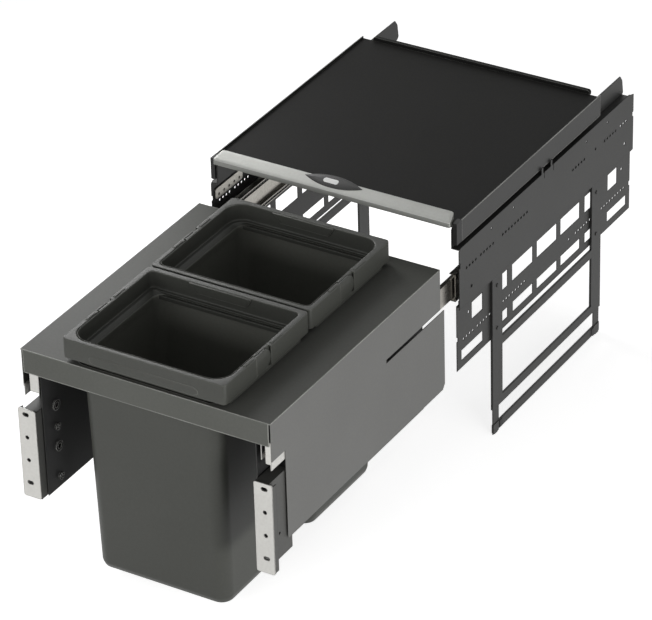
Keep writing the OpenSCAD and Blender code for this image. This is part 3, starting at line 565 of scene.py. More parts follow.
@dataclass
class BinSizes:
    """Sizes of a bin, as in the part's source, in millimetres."""

    plate_z: float = 357.0  # height of the top plate that the bin hangs on
    rim_w: float = 260.0  # width of the rim
    rim_l: float = 217.0  # its length along Y
    rim_up: float = 37.3  # its upper face's height over the top plate
    rim_r: float = 6.0  # corner radius of its outer face
    mouth_w: float = 242.0  # width of the mouth
    mouth_r: float = 26.0  # the mouth's corner radius at the unit's end
    mouth_mid_r: float = 8.0  # its corner radius between the two bins
    collar: float = 1.6  # thickness of the wall round the mouth
    shoulder: float = 5.5  # the step inside, over the ledge's upper face
    step_in: float = 6.0  # how far that step reaches in from the mouth
    step_low: float = 4.0  # how far its foot is inside the body's outer face
    ledge: float = 6.0  # height of the carrying ledge
    ledge_in: float = 2.5  # how far the ledge stays back from the rim's sides
    ledge_end: float = 18.0  # how far it stays back from the rim's front and rear
    ledge_r: float = 3.0  # its corner radius
    ledge_sunk: float = 2.0  # how far it reaches into the body at the sides
    wall: float = 1.8  # thickness of the body
    skin: float = 2.2  # thickness of the rim
    base_z: float = 19.0  # height of the base
    base_half: float = 104.0  # half the base's width
    base_front: float = 19.6  # distance from the rim's front to the base
    base_rear: float = 35.4  # distance from the base to the rim's rear
    base_r: float = 17.0  # the base's corner radius in front
    base_rear_r: float = 6.0  # its corner radius behind
    bend_half: float = 107.0  # half the body's width where the base's round edge ends
    bend_out: float = 5.0  # how far that place is outside the base, in front and behind
    bend_up: float = 9.0  # its height over the base
    bend_rear_r: float = 9.0  # its corner radius behind
    body_half: float = 112.0  # half the body's width at its top
    body_in: float = 8.0  # distance from the rim's front and rear to the body's top
    body_r: float = 22.0  # the body's corner radius
    body_up: float = 0.8  # how far the body's top is over the top plate
    thin_down: float = 8.0  # distance from that top down to where the wall is even
    thin_more: float = 0.4  # how much thicker the wall is there at the sides
    pivot_y: float = 102.0  # distance from the rim's front to the bail's pins
    ear_r: float = 15.0  # radius of the bail's round ends
    ear_t: float = 3.6  # thickness of these ends
    ear_soft: float = 0.9  # how far their outer edges are rounded
    ear_soft_in: float = 0.4  # how far their inner edges are rounded
    bail_gap: float = 0.7  # clearance between the bail and the bin
    rim_gap: float = 0.3  # clearance over the ledge and over the bail's ends
    flange_back: float = 21.5  # distance from the pins to the end of the bail's flange
    rib_out: float = 1.0  # how far the raised field stands out of the bail's front
    rib_sunk: float = 0.4  # how far it reaches into the bail
    rib_end: float = 42.0  # distance from the rim's sides to its ends
    block_in: float = 1.1  # distance from the mouth to the blocks at the hinges
    block_front: float = 2.2  # distance from the bail's flange to them
    block_rear: float = 0.5  # how far they reach into the rim's rear part
    block_up: float = 1.0  # how far they stay over the rim's lower edge
    hair: float = 0.01  # sets two rings or faces apart that would else be in one plane

    @property
    def rim_top(self) -> float:
        """Height of the rim's upper face."""
        return self.plate_z + self.rim_up

    @property
    def rim_bottom(self) -> float:
        """Height of the rim's lower edge."""
        return self.plate_z + self.ledge + self.rim_gap

    @property
    def pivot_z(self) -> float:
        """Height of the bail handle's pins."""
        return self.rim_top - self.ear_r - self.rim_gap

    @property
    def mouth_in(self) -> float:
        """Distance from the rim's outer face to the mouth."""
        return (self.rim_w - self.mouth_w) / 2


# Points that the shell's rounding puts on each corner of its section, and
# the station from which the shell's faces lie inside the body.
CURVE_STEPS = 5
INSIDE_STATION = 9
# The pad on the rear wall: its outline along X and below the rim's top, the
# point that it shrinks to, and its faces as distances from the wall and insets.
PAD_OUTLINE = ((-58, -1), (-52, -6), (-45, -15), (34, -15), (38, -12), (44, -1))
PAD_CENTRE = (-6.0, -8.0)
PAD_HALF = 40.0
PAD_FACES = ((0.3, 0.0), (-2.0, 0.0), (-2.4, 0.6), (-2.4, 4.0))
# The low bars on the rim: where they start along Y from the pins, and their length.
BIN_BAR = (20.0, 27.0)
BAIL_BAR = (-48.0, 22.0)
# Their section: insets from the rim's outer face, heights over a base that is
# sunk in the rim, and the length over which they rise from a tenth of that.
BAR_INSETS = (5.6, 1.6)
BAR_HEIGHTS = (-0.4, 1.3)
BAR_SUNK = 0.2
BAR_RISE = 1.2
BAR_LOW = 0.1
# The raised field: heights of its foot, its face's two edges and its top over the
# rim's lower edge, and its share of its full size at distances from its ends.
RIB_HEIGHTS = (0.8, 3.0, 14.4, 16.0)
RIB_SWELL = ((0.0, 0.15), (2.0, 0.6), (9.0, 1.0))
# The two sides and their signs along X.
SIDES = (("left", -1), ("right", 1))


class HangingBin:
    """A moulded bin with the fixed rear part of its rim and its bail handle."""

    def __init__(self, which: str, sizes: BinSizes, book: MaterialBook) -> None:
        """Takes the bin's place from its CAD nodes.

        Args:
            which: "front" or "rear".
            sizes: the bin's sizes.
            book: the materials.
        """
        self.which = which
        self.s = sizes
        self.book = book
        self.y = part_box(f"bail_{which}")[0].y / MM + sizes.rib_out
        # the mouth's wide corners are at the unit's ends
        radii = (sizes.mouth_r, sizes.mouth_mid_r)
        self.near_r, self.far_r = radii if which == "front" else radii[::-1]

    def build(self) -> None:
        """Builds the shell, the rim's rear part and the bail handle."""
        body = [self._shell(), self._ledge(), self._pad(), self._rear_rim()]
        body += self._hinge_blocks() + self._bars("bin", *BIN_BAR)
        for piece in body:
            self._finish(piece, f"{self.which}_bin", f"bin_{self.which}")
        for piece in self._bail():
            self._finish(piece, f"{self.which}_bail", f"bail_{self.which}")

    def _finish(self, piece: bpy.types.Object, body: str, node: str) -> None:
        """Gives a piece its plastic and lets it ride and replace its node.

        Args:
            piece: the piece.
            body: the body that it rides.
            node: the CAD node that it replaces.
        """
        piece.data.materials.append(self.book.get("bin"))
        # the shell's inside takes a lighter copy of the plastic: painted light for the little
        # light that reaches it
        if piece.name.endswith("_shell"):
            piece.data.materials.append(self.book.get("bin_inside_painted_lighter"))
        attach(piece, body)
        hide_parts(node)

    def _shell(self) -> bpy.types.Object:
        """Lofts the body, collar and inside as one closed skin.

        A line goes up outside from the base's middle, over the collar and
        down inside. Its corners are rounded, and each of its points is a
        rectangle with round corners.

        Returns:
            The shell.
        """
        s, w = self.s, self.s.wall
        length, top, low = s.rim_l, s.plate_z + s.body_up, s.plate_z + s.ledge

        def foot_rows(d: float) -> list[list[float]]:
            """Gives the stations of the base and of its round edge's end.

            Args:
                d: how far inside the body's outer face they lie.

            Returns:
                The stations of a spot in the base's middle, of the base's
                edge and of the place where its round edge ends.
            """
            spot, spot_r, middle = 3.0, 2.9, length / 2 - s.body_in
            front, rear = s.base_front + d, length - s.base_rear - d
            z = s.base_z + d
            return [
                [spot, middle - spot, middle + spot, spot_r, z, spot_r],
                [s.base_half - d, front, rear, s.base_r - d, z, s.base_rear_r - d],
                [
                    s.bend_half - d,
                    front - s.bend_out,
                    rear + s.bend_out,
                    s.body_r - d,
                    z + s.bend_up,
                    s.bend_rear_r - d,
                ],
            ]

        def body_row(d: float, z: float, more: float = 0.0) -> list[float]:
            """Gives a station of the body above its base.

            Args:
                d: how far inside the body's outer face it lies.
                z: its height.
                more: how much farther inside it lies at the sides.

            Returns:
                The station.
            """
            inset, corner = s.body_in + d, s.body_r - d
            return [s.body_half - d - more, inset, length - inset, corner, z, corner]

        def mouth_row(d: float, z: float) -> list[float]:
            """Gives a station of the mouth.

            Args:
                d: how far outside the mouth it lies.
                z: its height.

            Returns:
                The station.
            """
            near, far = self.near_r + d, self.far_r + d
            inset = s.mouth_in - d
            return [s.mouth_w / 2 + d, inset, length - inset, near, z, far]

        stations = [
            *foot_rows(0),
            body_row(0, top),
            mouth_row(s.collar, top),
            mouth_row(s.collar, s.rim_top),
            mouth_row(0, s.rim_top),
            mouth_row(0, low + s.shoulder),
            mouth_row(-s.step_in, low + s.shoulder),
            body_row(s.step_low, low),
            body_row(w, top - s.thin_down, s.thin_more),
            *foot_rows(w)[::-1],
        ]
        rows = soften(np.array(stations, float), radius=3.0, steps=CURVE_STEPS)
        grid = rounded_rings(rows, steps=12)
        grid[..., 1] += self.y
        piece = MeshMaker.from_grid(f"bin_{self.which}_shell", grid, sharp=50)
        # the faces inside the body, below the shoulder, which take the plastic painted lighter as
        # painted light
        first = (1 + (INSIDE_STATION - 1) * CURVE_STEPS) * grid.shape[1]
        inside = np.zeros(len(piece.data.polygons), np.int32)
        inside[first:-2] = 1
        inside[-1] = 1
        piece.data.polygons.foreach_set("material_index", inside)
        return piece

    def _ledge(self) -> bpy.types.Object:
        """Makes the carrying ledge, whose inner edge is sunk in the body.

        A rounded rectangle of four stations is carried round the body.

        Returns:
            The ledge.
        """
        s = self.s
        sunk = s.body_in + s.step_low
        inner = [s.body_half - s.ledge_sunk, sunk, s.rim_l - sunk, s.body_r - s.step_low]
        outer = [s.rim_w / 2 - s.ledge_in, s.ledge_end, s.rim_l - s.ledge_end, s.ledge_r]
        low, top = s.plate_z, s.plate_z + s.ledge
        rows = np.array([[*inner, low], [*outer, low], [*outer, top], [*inner, top]], float)
        grid = rounded_rings(soften(rows, radius=0.7, steps=4, closed=True), steps=8)
        grid[..., 1] += self.y
        return MeshMaker.from_grid(f"bin_{self.which}_ledge", grid, sharp=50, wrap_rows=True)

    def _pad(self) -> bpy.types.Object:
        """Makes the trapezoid pad on the rear inner wall.

        Its rings are its rounded outline at four depths, drawn in towards a
        point for the soft edge and the face.

        Returns:
            The pad.
        """
        s = self.s
        outline = soften(np.array(PAD_OUTLINE, float), radius=2.0, steps=4, closed=True)
        back = self.y + s.rim_l - s.mouth_in
        centre = np.array(PAD_CENTRE)
        rings = []
        for depth, inset in PAD_FACES:
            face = centre + (outline - centre) * (1 - inset / PAD_HALF)
            y = np.full(len(face), back + depth)
            rings.append(np.column_stack([face[:, 0], y, s.rim_top + face[:, 1]]))
        return MeshMaker.from_grid(f"bin_{self.which}_pad", np.array(rings), sharp=40)

    def _arm(
        self, name: str, section: np.ndarray, cut: float, front: bool
    ) -> bpy.types.Object:
        """Carries a section round the front or the rear of the rim.

        The section's first column is its inset from the rim's outer face and
        the second is its height. The path is a rectangle's outline with round
        corners, cut off at one place along Y. The corner's radius grows from
        the rim's own at the outer face to the mouth's at the inner edge.

        Args:
            name: the piece's name.
            section: the softened section.
            cut: distance of both ends from the rim's front.
            front: round the front, or else round the rear.

        Returns:
            The piece.
        """
        s = self.s
        inset, height = section[:, 0, None], section[:, 1, None]
        inner = section[:, 0].max()
        corner = (self.near_r if front else self.far_r) + s.mouth_in - inner
        radius = np.interp(inset, [0, s.skin, inner], [s.rim_r, s.rim_r - s.skin, corner])
        half = s.rim_w / 2 - inset
        turn = np.radians(np.linspace(0, 90, 9))[None]
        edge = inset if front else s.rim_l - inset
        sign = 1 if front else -1
        near_x = -half + radius - radius * np.cos(turn)
        near_y = edge + sign * (radius - radius * np.sin(turn))
        far_x, far_y = -near_x[:, ::-1], near_y[:, ::-1]
        ends = cut * np.ones_like(half)
        x = np.concatenate([-half, near_x, far_x, half], axis=1)
        y = np.concatenate([ends, near_y, far_y, ends], axis=1)
        z = np.broadcast_to(height, x.shape)
        grid = np.stack([x, y + self.y, z], axis=-1).transpose(1, 0, 2)
        return MeshMaker.from_grid(name, grid, sharp=40)

    def _section(self, inner: float) -> np.ndarray:
        """Gives the rim's L section with a rounded outer shoulder.

        Args:
            inner: width of its upper flange.

        Returns:
            Rows of inset and height.
        """
        s = self.s
        low, top = s.rim_bottom, s.rim_top
        corners = [
            [0.0, low],
            [0.0, top],
            [inner, top],
            [inner, top - s.skin],
            [s.skin, top - s.skin],
            [s.skin, low],
        ]
        return soften(np.array(corners, float), radius=1.1, steps=5, closed=True)

    def _rear_rim(self) -> bpy.types.Object:
        """Makes the rear part of the rim, which stays on the bin.

        Returns:
            The rim's rear part.
        """
        s = self.s
        cut = s.pivot_y + s.ear_r + s.bail_gap
        section = self._section(s.mouth_in - s.collar / 2)
        return self._arm(f"bin_{self.which}_rim", section, cut, front=False)

    def _pair(
        self, stem: str, section: np.ndarray, base: float, stations: list[tuple[float, float]]
    ) -> list[bpy.types.Object]:
        """Carries a section straight along Y, on both sides of the bin.

        Args:
            stem: the pieces' name without the side.
            section: places along X and heights over the base.
            base: the height of the base.
            stations: places along Y and the share of the heights there.

        Returns:
            The left and the right piece.
        """
        pieces = []
        for side, sign in SIDES:
            rings = []
            for y, share in stations:
                x, z = sign * section[:, 0], base + section[:, 1] * share
                rings.append(np.column_stack([x, np.full(len(section), self.y + y), z]))
            pieces.append(MeshMaker.from_grid(f"{stem}_{side}", np.array(rings), sharp=40))
        return pieces

    def _hinge_blocks(self) -> list[bpy.types.Object]:
        """Makes the blocks under the rim that carry the bail's pins.

        A rectangle with round corners is carried straight along Y.

        Returns:
            The two blocks.
        """
        s = self.s
        x0, x1 = s.mouth_w / 2 + s.block_in, s.rim_w / 2 - s.ear_t - s.bail_gap
        y0 = s.pivot_y - s.flange_back + s.block_front
        y1 = s.pivot_y + s.ear_r + s.bail_gap + s.block_rear
        low, top = s.rim_bottom + s.block_up, s.rim_top
        corners = np.array([[x0, low], [x1, low], [x1, top], [x0, top]], float)
        section = soften(corners, radius=0.6, steps=4, closed=True)
        stations = [(y0, 1.0), (y0 + s.hair, 1.0), (y1, 1.0)]
        return self._pair(f"bin_{self.which}_block", section, 0.0, stations)

    def _bail(self) -> list[bpy.types.Object]:
        """Makes the bail handle: band, round ends, raised field and bars.

        Returns:
            The handle's pieces.
        """
        s = self.s
        section = self._section(s.mouth_in - s.collar - s.bail_gap)
        stop = s.pivot_y - s.flange_back
        pieces = [self._arm(f"bail_{self.which}_band", section, stop, front=True)]
        pieces += [self._ear(side, sign) for side, sign in SIDES]
        pieces.append(self._grip_rib())
        return pieces + self._bars("bail", *BAIL_BAR)

    def _ear(self, side: str, sign: int) -> bpy.types.Object:
        """Makes one end of the bail, straight in front and round behind.

        Its outline is a half circle about the pin, carried forward to the
        band. Its faces are the outline at four depths, drawn in at the edges.

        Args:
            side: "left" or "right".
            sign: -1 on the left.

        Returns:
            The piece.
        """
        s = self.s
        arc = np.radians(np.linspace(-90, 90, 25))
        stop = -s.flange_back - s.hair
        y = np.concatenate([[stop], s.ear_r * np.cos(arc), [stop]])
        z = np.concatenate([[-s.ear_r + s.rim_gap], s.ear_r * np.sin(arc), [s.ear_r + s.rim_gap]])
        z[1:-1] += s.rim_gap * (arc > 0)
        out, into = s.ear_soft, s.ear_soft_in
        faces = ((0.0, out), (out, 0.0), (s.ear_t - into, 0.0), (s.ear_t, into))
        rings = []
        for depth, inset in faces:
            x = np.full(len(y), sign * (s.rim_w / 2 - depth))
            scale = 1 - inset / s.ear_r
            back = np.where(y > stop, y * scale, y)
            rings.append(np.stack([x, self.y + s.pivot_y + back, s.pivot_z + z * scale], 1))
        return MeshMaker.from_grid(f"bail_{self.which}_ear_{side}", np.array(rings), sharp=50)

    def _bars(self, owner: str, start: float, length: float) -> list[bpy.types.Object]:
        """Makes the low bars on the rim beside the hinges, one on each side.

        A rectangle with round corners is carried along Y and rises at each
        end of the bar.

        Args:
            owner: "bin" or "bail", for the pieces' names.
            start: distance of the bars from the pins.
            length: their length.

        Returns:
            The two pieces.
        """
        s = self.s
        x0, x1 = (s.rim_w / 2 - inset for inset in BAR_INSETS)
        low, high = BAR_HEIGHTS
        corners = np.array([[x0, low], [x1, low], [x1, high], [x0, high]])
        section = soften(corners, radius=0.5, steps=4, closed=True)
        y = s.pivot_y + start
        full = [(y + BAR_RISE, 1.0), (y + length - BAR_RISE, 1.0)]
        stations = [(y, BAR_LOW), *full, (y + length, BAR_LOW)]
        return self._pair(f"{owner}_{self.which}_bar", section, s.rim_top - BAR_SUNK, stations)

    def _grip_rib(self) -> bpy.types.Object:
        """Makes the raised field on the lower front of the bail.

        Its section is carried along X and swells from the ends towards the
        middle.

        Returns:
            The field.
        """
        s = self.s
        back, face = s.rib_sunk, -s.rib_out
        foot, lower, upper, top = (s.rim_bottom + height for height in RIB_HEIGHTS)
        corners = np.array([[back, foot], [face, lower], [face, upper], [back, top]])
        section = soften(corners, radius=0.9, steps=5, closed=True)
        middle = (foot + top) / 2
        left = [(s.rib_end - s.rim_w / 2 + along, share) for along, share in RIB_SWELL]
        rings = []
        for x, share in left + [(-x, share) for x, share in left[::-1]]:
            y = self.y + back + (section[:, 0] - back) * share
            z = middle + (section[:, 1] - middle) * share
            rings.append(np.column_stack([np.full(len(section), x), y, z]))
        return MeshMaker.from_grid(f"bail_{self.which}_rib", np.array(rings), sharp=60)


@dataclass
class BallRows:
    """The ball rows of one side's runner, each in its cage, in millimetres."""

    side: str  # "left" or "right"
    book: MaterialBook  # the materials
    pitch: float = 8.0  # distance between two balls
    fill: float = 0.98  # a ball's share of the room that it has
    cage: float = 0.8  # thickness of the cage's strip
    cage_share: float = 0.3  # half the cage's height, as a share of a row's
    cage_taper: float = 1.5  # length of its narrowed ends
    cage_end: float = 0.5  # the share of its section that they narrow to
    length: float = 200.0  # length of a row
    inner_size: float = 3.4  # height of the two rows at the middle runner's front
    outer_size: float = 4.4  # height of the two rows at its rear, nearer its edges
    step: float = 1.2  # height between the outer rows and the inner ones
    rings: int = 8  # rings of points on a ball
    spokes: int = 10  # points on a ring

    def build(self) -> None:
        """Builds the four rows as one piece, mirrored for the left side."""
        low, high = (np.array(corner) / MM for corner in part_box(f"ball_strips_{self.side}"))
        x = (low[0] + high[0]) / 2
        inner = (low[1], self.inner_size, self.outer_size + self.step)
        outer = (high[1] - self.length, self.outer_size, 0.0)
        parts = []
        for start, size, inset in (inner, outer):
            for z in (low[2] + inset + size / 2, high[2] - inset - size / 2):
                parts.append(self._balls(x, start, z, size / 2))
                parts.append(self._cage(x, start, z, size * self.cage_share))
        points, faces, used = [], [], 0
        for part_points, part_faces in parts:
            points.append(part_points)
            faces += (part_faces + used).tolist()
            used += len(part_points)
        piece = MeshMaker.build(f"ball_rows_{self.side}", np.concatenate(points), faces, sharp=60)
        piece.data.materials.append(self.book.get("steel"))
        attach(piece, f"middle_{self.side}")
        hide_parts(f"ball_strips_{self.side}")

    def _balls(
        self, x: float, start: float, z: float, radius: float
    ) -> tuple[np.ndarray, np.ndarray]:
        """Makes a row of balls.

        A point is the ball's centre plus the radius times the direction of
        its two angles. The poles lie on X and end in small open rings.

        Args:
            x: the row's place along X.
            start: where it starts along Y.
            z: its height.
            radius: radius of the space for the balls, which they nearly fill.

        Returns:
            The points, and the quads that join them.
        """
        across = np.radians(np.linspace(2, 178, self.rings))[:, None]
        around = np.radians(np.arange(self.spokes) * 360 / self.spokes)[None]
        axis = np.cos(across) * np.ones_like(around)
        ball = np.stack(
            [axis, np.sin(across) * np.cos(around), np.sin(across) * np.sin(around)], axis=-1
        ).reshape(-1, 3)
        centres = np.arange(start + self.pitch / 2, start + self.length, self.pitch)
        middle = np.column_stack([np.full_like(centres, x), centres, np.full_like(centres, z)])
        points = (middle[:, None] + ball[None] * radius * self.fill).reshape(-1, 3)
        quads = MeshMaker.quads(self.rings, self.spokes)[None, :, ::-1]
        shift = np.arange(len(centres))[:, None, None] * self.rings * self.spokes
        return points, (quads + shift).reshape(-1, 4)

    def _cage(
        self, x: float, start: float, z: float, half_height: float
    ) -> tuple[np.ndarray, np.ndarray]:
        """Makes the cage's strip as a box with narrowed ends.

        Args:
            x: the strip's place along X.
            start: where it starts along Y.
            z: its height.
            half_height: half the strip's own height.

        Returns:
            The points, and the quads that join them.
        """
        section = np.array([[-1, -1], [1, -1], [1, 1], [-1, 1]]) * [self.cage / 2, half_height]
        end, taper = start + self.length, self.cage_taper
        ys = np.array([start, start + taper, end - taper, end])
        swell = np.array([self.cage_end, 1.0, 1.0, self.cage_end])
        rings = section[None] * swell[:, None, None]
        points = np.stack(
            [x + rings[..., 0], np.broadcast_to(ys[:, None], (4, 4)), z + rings[..., 1]], axis=-1
        ).reshape(-1, 3)
        ends = np.array([[3, 2, 1, 0], [12, 13, 14, 15]])
        return points, np.concatenate([MeshMaker.quads(4, 4), ends])


@dataclass
class CoverSizes:
    """Sizes of the cover's trim and grip, in millimetres."""

    board_top: float = 407.0  # height of the board's upper face
    trim_l: float = 21.0  # the trim's length along Y
    trim_w: float = 394.0  # its width in front
    taper: float = 5.0  # how much narrower it is behind, on each side
    trim_up: float = 6.0  # its front's height over the board
    rise: float = 7.5  # how much higher its rear is
    nose: float = 2.0  # how far its front edge reaches below the board's upper face
    nose_l: float = 7.0  # length of that front edge along Y
    grip_w: float = 95.0  # the grip's width
    grip_l: float = 21.0  # its length along Y
    grip_x: float = -2.0  # its middle's place along X
    grip_in: float = 5.0  # distance from its middle to the trim's rear
    grip_up: float = 1.5  # height of its middle over the trim
    grip_dome: float = 1.2  # how much of that height is its dome
    off_board: float = 0.02  # distance of the trim's foot from the board
    grip_foot: float = 0.05  # distance of the grip's foot from the board


# The trim's rings, as drops below its slope and insets; the first is its foot.
TRIM_RINGS = ((-1.0, 0.0), (0.9, 0.0), (0.3, 0.3), (0.0, 0.9), (0.0, 5.0))
# The grip's rings, as shares of its outline and lifts; the first is its foot.
GRIP_RINGS = ((1.0, -13.0), (1.0, 0.0), (0.985, 0.35), (0.95, 0.6), (0.7, 1.1), (0.3, 1.45))


class CoverFront:
    """The pale trim at the cover's front edge, with its dark grip."""

    def __init__(self, sizes: CoverSizes, book: MaterialBook) -> None:
        """Takes the trim's place from its CAD node.

        Args:
            sizes: the trim's sizes.
            book: the materials.
        """
        self.s = sizes
        self.book = book
        self.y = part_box("cover_trim")[0].y / MM

    def slope(self, y: np.ndarray) -> np.ndarray:
        """Gives the height of the trim's sloping face at places along Y."""
        return self.s.board_top + self.s.trim_up + (y - self.y) * self.s.rise / self.s.trim_l

    def build(self) -> None:
        """Builds the trim and the grip."""
        self._trim()
        self._grip()

    def _trim(self) -> None:
        """Makes the trim as rings of its plan, drawn in towards its middle.

        The height of each ring is the slope's less a drop that is smallest at
        the innermost ring, so the edge is round.
        """
        s = self.s
        half, back = s.trim_w / 2, self.y + s.trim_l
        plan = np.array(
            [[-half, self.y], [half, self.y], [half - s.taper, back], [-half + s.taper, back]]
        )
        plan = soften(plan, radius=4.0, steps=8, closed=True)
        plan[:, 1] = np.maximum(plan[:, 1], self.y)
        centre = np.array([0.0, self.y + s.trim_l / 2])
        rings = []
        for drop, inset in TRIM_RINGS:
            scale = 1 - inset / np.array([half, s.trim_l / 2])
            ring = centre + (plan - centre) * scale
            in_nose = ring[:, 1] < self.y + s.nose_l
            foot = np.where(in_nose, s.board_top - s.nose, s.board_top + s.off_board)
            z = foot if drop < 0 else self.slope(ring[:, 1]) - drop
            rings.append(np.column_stack([ring, z]))
        piece = MeshMaker.from_grid("cover_front_trim", np.array(rings), sharp=35)
        piece.data.materials.append(self.book.get("trim"))
        piece.data.materials.append(self.book.get("trim_painted_shade"))
        # the lowest band of faces takes the trim painted darker, as painted shade
        band = np.zeros(len(piece.data.polygons), np.int32)
        band[: len(plan)] = 1
        piece.data.polygons.foreach_set("material_index", band)
        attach(piece, "cover")
        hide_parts("cover_trim")

    def _grip(self) -> None:
        """Makes the domed lens of the grip.

        Its outline is two arcs of one circle. Its dome rises steeply at the
        outline and gently towards the middle.
        """
        s = self.s
        radius = (s.grip_w**2 / 4 + s.grip_l**2 / 4) / s.grip_l
        span = np.arcsin(s.grip_w / 2 / radius)
        turn = np.linspace(-span, span, 49)
        low_y = radius - s.grip_l / 2 - radius * np.cos(turn)
        low = np.column_stack([radius * np.sin(turn), low_y])
        high = -low
        plan = np.concatenate([low[:-1], high[:-1]])
        centre = self.y + s.trim_l - s.grip_in
        rings = []
        for share, lift in GRIP_RINGS:
            ring = plan * share
            y = ring[:, 1] + centre
            z = self.slope(y) + s.grip_up - s.grip_dome + lift
            if lift < 0:
                z = np.maximum(z, s.board_top + s.grip_foot)
            rings.append(np.column_stack([ring[:, 0] + s.grip_x, y, z]))
        piece = MeshMaker.from_grid("cover_front_grip", np.array(rings), sharp=45)
        piece.data.materials.append(self.book.get("grip"))
        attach(piece, "cover")
        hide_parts("cover_grip")


@dataclass
class SheetMetal:
    """The CAD nodes that keep their shape, with the finish of each family.

    Attributes:
        book: the materials.
        families: for each finish, the beginnings of its nodes' names.
    """

    book: MaterialBook
    families: dict[str, tuple[str, ...]] = field(
        default_factory=lambda: {
            "frame": (
                "side_plate", "window_plate", "plate_ledge", "leg_frame", "foot_frame",
                "runner_foot", "cover_rail", "plate_rivets",
            ),
            "panel": ("outer_panel",),
            "bracket": ("front_bracket",),
            "dark_metal": ("adjusters", "bracket_screws"),
            "top": ("top_plate",),
            "inner": ("inner_panel", "rear_wall", "runner_blocks"),
            "channel": ("cover_channel",),
            "plug": ("foot_plugs", "cover_glides", "cover_caps"),
            "zinc": (
                "cabinet_runner", "middle_runner", "drawer_runner", "run_in_guide",
                "panel_spacers",
            ),
            "bright": ("bracket_face", "runner_tab"),
            "steel": ("ball_strips",),
            "board": ("cover_board", "cover_upstand"),
            "inlay": ("cover_inlay",),
            "bin": ("bin", "bail"),
            "trim": ("cover_trim",),
            "grip": ("cover_grip",),
        }
    )

    def dress(self, nodes: dict[str, bpy.types.Object]) -> None:
        """Puts each node's finish into its material slots.

        Args:
            nodes: the CAD nodes by name.
        """
        for name, node in sorted(nodes.items()):
            key = self.finish_of(name)
            node.data.materials.clear()
            node.data.materials.append(self.book.get(key))
            LOG.info("%s: %s", name, FINISHES[key].name)

    def finish_of(self, name: str) -> str:
        """Finds the finish of a node by the family that its name begins with.

        Args:
            name: the node's name.

        Returns:
            A key of FINISHES.
        """
        for key, stems in self.families.items():
            if any(name == stem or name.startswith(stem + "_") for stem in stems):
                return key
        raise ValueError(f"no finish is named for {name}")


@dataclass(frozen=True)
class SoftBox:
    """A soft studio lamp, in metres and watts."""

    name: str  # its name
    place: tuple[float, float, float]  # its centre
    aim: tuple[float, float, float]  # the point that it faces
    size: tuple[float, float]  # its width and height
    watts: float  # its power


# A lamp that points this steeply takes Y as its upright, and any other one Z.
STEEP = 0.9
# The large lamps light the side, the front, the top and the rear. The low one
# lights the lower right, and the left one puts a sheen on the left of the top.
LAMPS = (
    SoftBox("lamp right", (3.3, -0.9, 0.5), (0.0, 0.0, 0.25), (2.6, 0.8), 38.0),
    SoftBox("lamp right low", (1.35, -0.75, 0.26), (0.1, -0.1, 0.2), (0.5, 0.4), 6.0),
    SoftBox("lamp front", (-0.6, -3.5, 0.9), (0.0, 0.0, 0.2), (2.4, 1.6), 54.0),
    SoftBox("lamp above", (0.0, 0.3, 3.4), (0.0, 0.0, 0.0), (2.6, 2.6), 2.5),
    SoftBox("lamp left", (-0.86, 0.48, 1.03), (-0.2, -0.3, 0.36), (0.45, 0.7), 7.5),
    SoftBox("lamp behind", (-0.8, 3.4, 1.6), (0.0, 0.0, 0.3), (2.2, 1.6), 4.0),
)


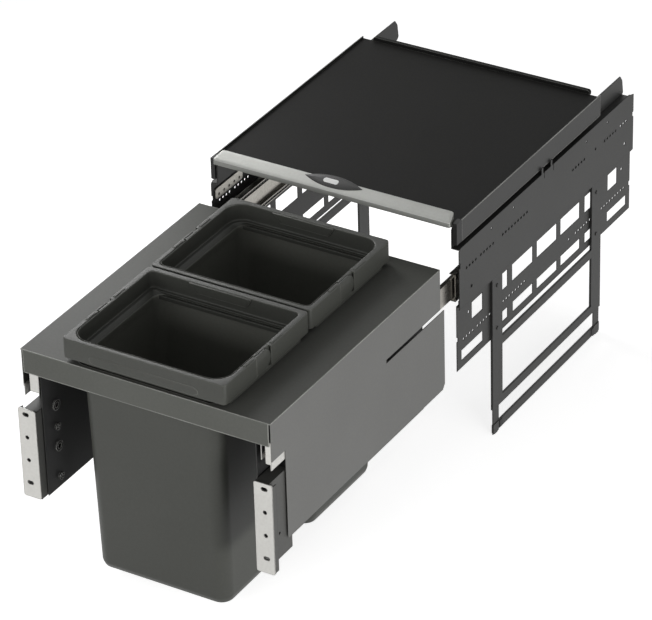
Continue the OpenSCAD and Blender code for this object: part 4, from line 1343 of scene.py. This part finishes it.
@dataclass
class Studio:
    """The floor, the soft light and the camera at the photograph's view."""

    lens_mm: float = 217.59  # the camera's focal length
    sensor_mm: float = 36.0  # width of its sensor
    # nearest and farthest distance that it sees, in metres
    clip: tuple[float, float] = (0.1, 100.0)
    eye: tuple[float, float, float] = (2.56287, -4.19145, 3.17010)  # its place, in metres
    # the direction to the picture's right
    right: tuple[float, float, float] = (0.85839, 0.51236, -0.02514)
    # the direction to the picture's foot
    down: tuple[float, float, float] = (0.24659, -0.45511, -0.85560)
    # the direction that it looks in
    forward: tuple[float, float, float] = (-0.44982, 0.72826, -0.51702)
    lamps: tuple[SoftBox, ...] = LAMPS  # the lamps
    ambient: float = 0.16  # strength of the world's even light
    floor_reach: float = 30.0  # half the floor's width, in metres
    floor_grey: float = 0.8  # how much light the floor gives back
    floor_glow: float = 0.78  # what it glows with for the rays that see it as white

    def build(self) -> None:
        """Makes everything round the object."""
        self._camera()
        for lamp in self.lamps:
            self._lamp(lamp)
        self._world()
        self._floor()

    def _camera(self) -> None:
        """Makes the camera from its solved place and directions."""
        data = bpy.data.cameras.new("camera")
        data.lens = self.lens_mm
        data.sensor_width = self.sensor_mm
        data.sensor_fit = "HORIZONTAL"
        data.clip_start, data.clip_end = self.clip
        camera = bpy.data.objects.new("camera", data)
        axes = np.array([self.right, -np.array(self.down), -np.array(self.forward)])
        matrix = np.eye(4)
        matrix[:3, :3] = axes.T
        matrix[:3, 3] = self.eye
        camera.matrix_world = Matrix(matrix.tolist())
        bpy.context.scene.collection.objects.link(camera)
        bpy.context.scene.camera = camera

    @staticmethod
    def _lamp(box: SoftBox) -> None:
        """Makes one soft lamp that faces its aim.

        Args:
            box: the lamp's values.
        """
        data = bpy.data.lights.new(box.name, "AREA")
        data.shape = "RECTANGLE"
        data.size, data.size_y = box.size
        data.energy = box.watts
        lamp = bpy.data.objects.new(box.name, data)
        back = np.array(box.place) - np.array(box.aim)
        back = back / np.linalg.norm(back)
        side = np.cross([0.0, 1.0, 0.0] if abs(back[2]) > STEEP else [0.0, 0.0, 1.0], back)
        side = side / np.linalg.norm(side)
        matrix = np.eye(4)
        matrix[:3, :3] = np.column_stack([side, np.cross(back, side), back])
        matrix[:3, 3] = box.place
        lamp.matrix_world = Matrix(matrix.tolist())
        lamp.visible_camera = False
        bpy.context.scene.collection.objects.link(lamp)

    def _world(self) -> None:
        """Makes a dim even world that the camera and gloss see as white."""
        world = bpy.data.worlds.new("studio")
        tree = empty_tree(world)
        strength = add_node(
            tree, "MapRange", {"Value": self._seen(tree), "To Min": self.ambient, "To Max": 1.0}
        ).outputs["Result"]
        white = (1.0, 1.0, 1.0, 1.0)
        sky = add_node(tree, "Background", {"Color": white, "Strength": strength})
        add_node(tree, "OutputWorld", {"Surface": sky.outputs["Background"]})
        bpy.context.scene.world = world

    @staticmethod
    def _seen(tree: bpy.types.NodeTree) -> bpy.types.NodeSocket:
        """Gives 1 for a ray from the camera, off gloss or through glass.

        Args:
            tree: the node tree.

        Returns:
            The socket with that value.
        """
        path = add_node(tree, "LightPath")
        value = path.outputs["Is Camera Ray"]
        for name in ("Is Glossy Ray", "Is Transmission Ray"):
            either = add_node(tree, "Math", {0: value, 1: path.outputs[name]}, operation="MAXIMUM")
            value = either.outputs["Value"]
        return value

    def _floor(self) -> None:
        """Makes the pale floor, which keeps the object's shadow."""
        far, grey = self.floor_reach, self.floor_grey
        corners = [(-far, -far, 0.0), (far, -far, 0.0), (far, far, 0.0), (-far, far, 0.0)]
        mesh = bpy.data.meshes.new("floor")
        mesh.from_pydata(corners, [], [[0, 1, 2, 3]])
        floor = bpy.data.objects.new("floor", mesh)
        bpy.context.scene.collection.objects.link(floor)
        material = bpy.data.materials.new("pale floor")
        tree = empty_tree(material)
        matt = add_node(tree, "BsdfDiffuse", {"Color": (grey, grey, grey, 1.0)})
        lift = add_node(
            tree, "Math", {0: self._seen(tree), 1: self.floor_glow}, operation="MULTIPLY"
        )
        glow = add_node(tree, "Emission", {"Strength": lift.outputs["Value"]})
        both = add_node(
            tree, "AddShader", {0: matt.outputs["BSDF"], 1: glow.outputs["Emission"]}
        )
        add_node(tree, "OutputMaterial", {"Surface": both.outputs["Shader"]})
        mesh.materials.append(material)


def main() -> None:
    """Loads the frame, dresses it and builds the studio round it."""
    logging.basicConfig(level=logging.INFO, format="%(name)s %(message)s")
    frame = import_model()
    bpy.context.scene.view_settings.view_transform = "Standard"
    book = MaterialBook()
    SheetMetal(book).dress(frame["nodes"])
    sizes = BinSizes()
    for which in ("front", "rear"):
        HangingBin(which, sizes, book).build()
        LOG.info("%s bin built", which)
    for side in ("left", "right"):
        BallRows(side, book).build()
        LOG.info("%s ball rows built", side)
    CoverFront(CoverSizes(), book).build()
    LOG.info("cover front built")
    Studio().build()


if __name__ == "__main__":
    main()
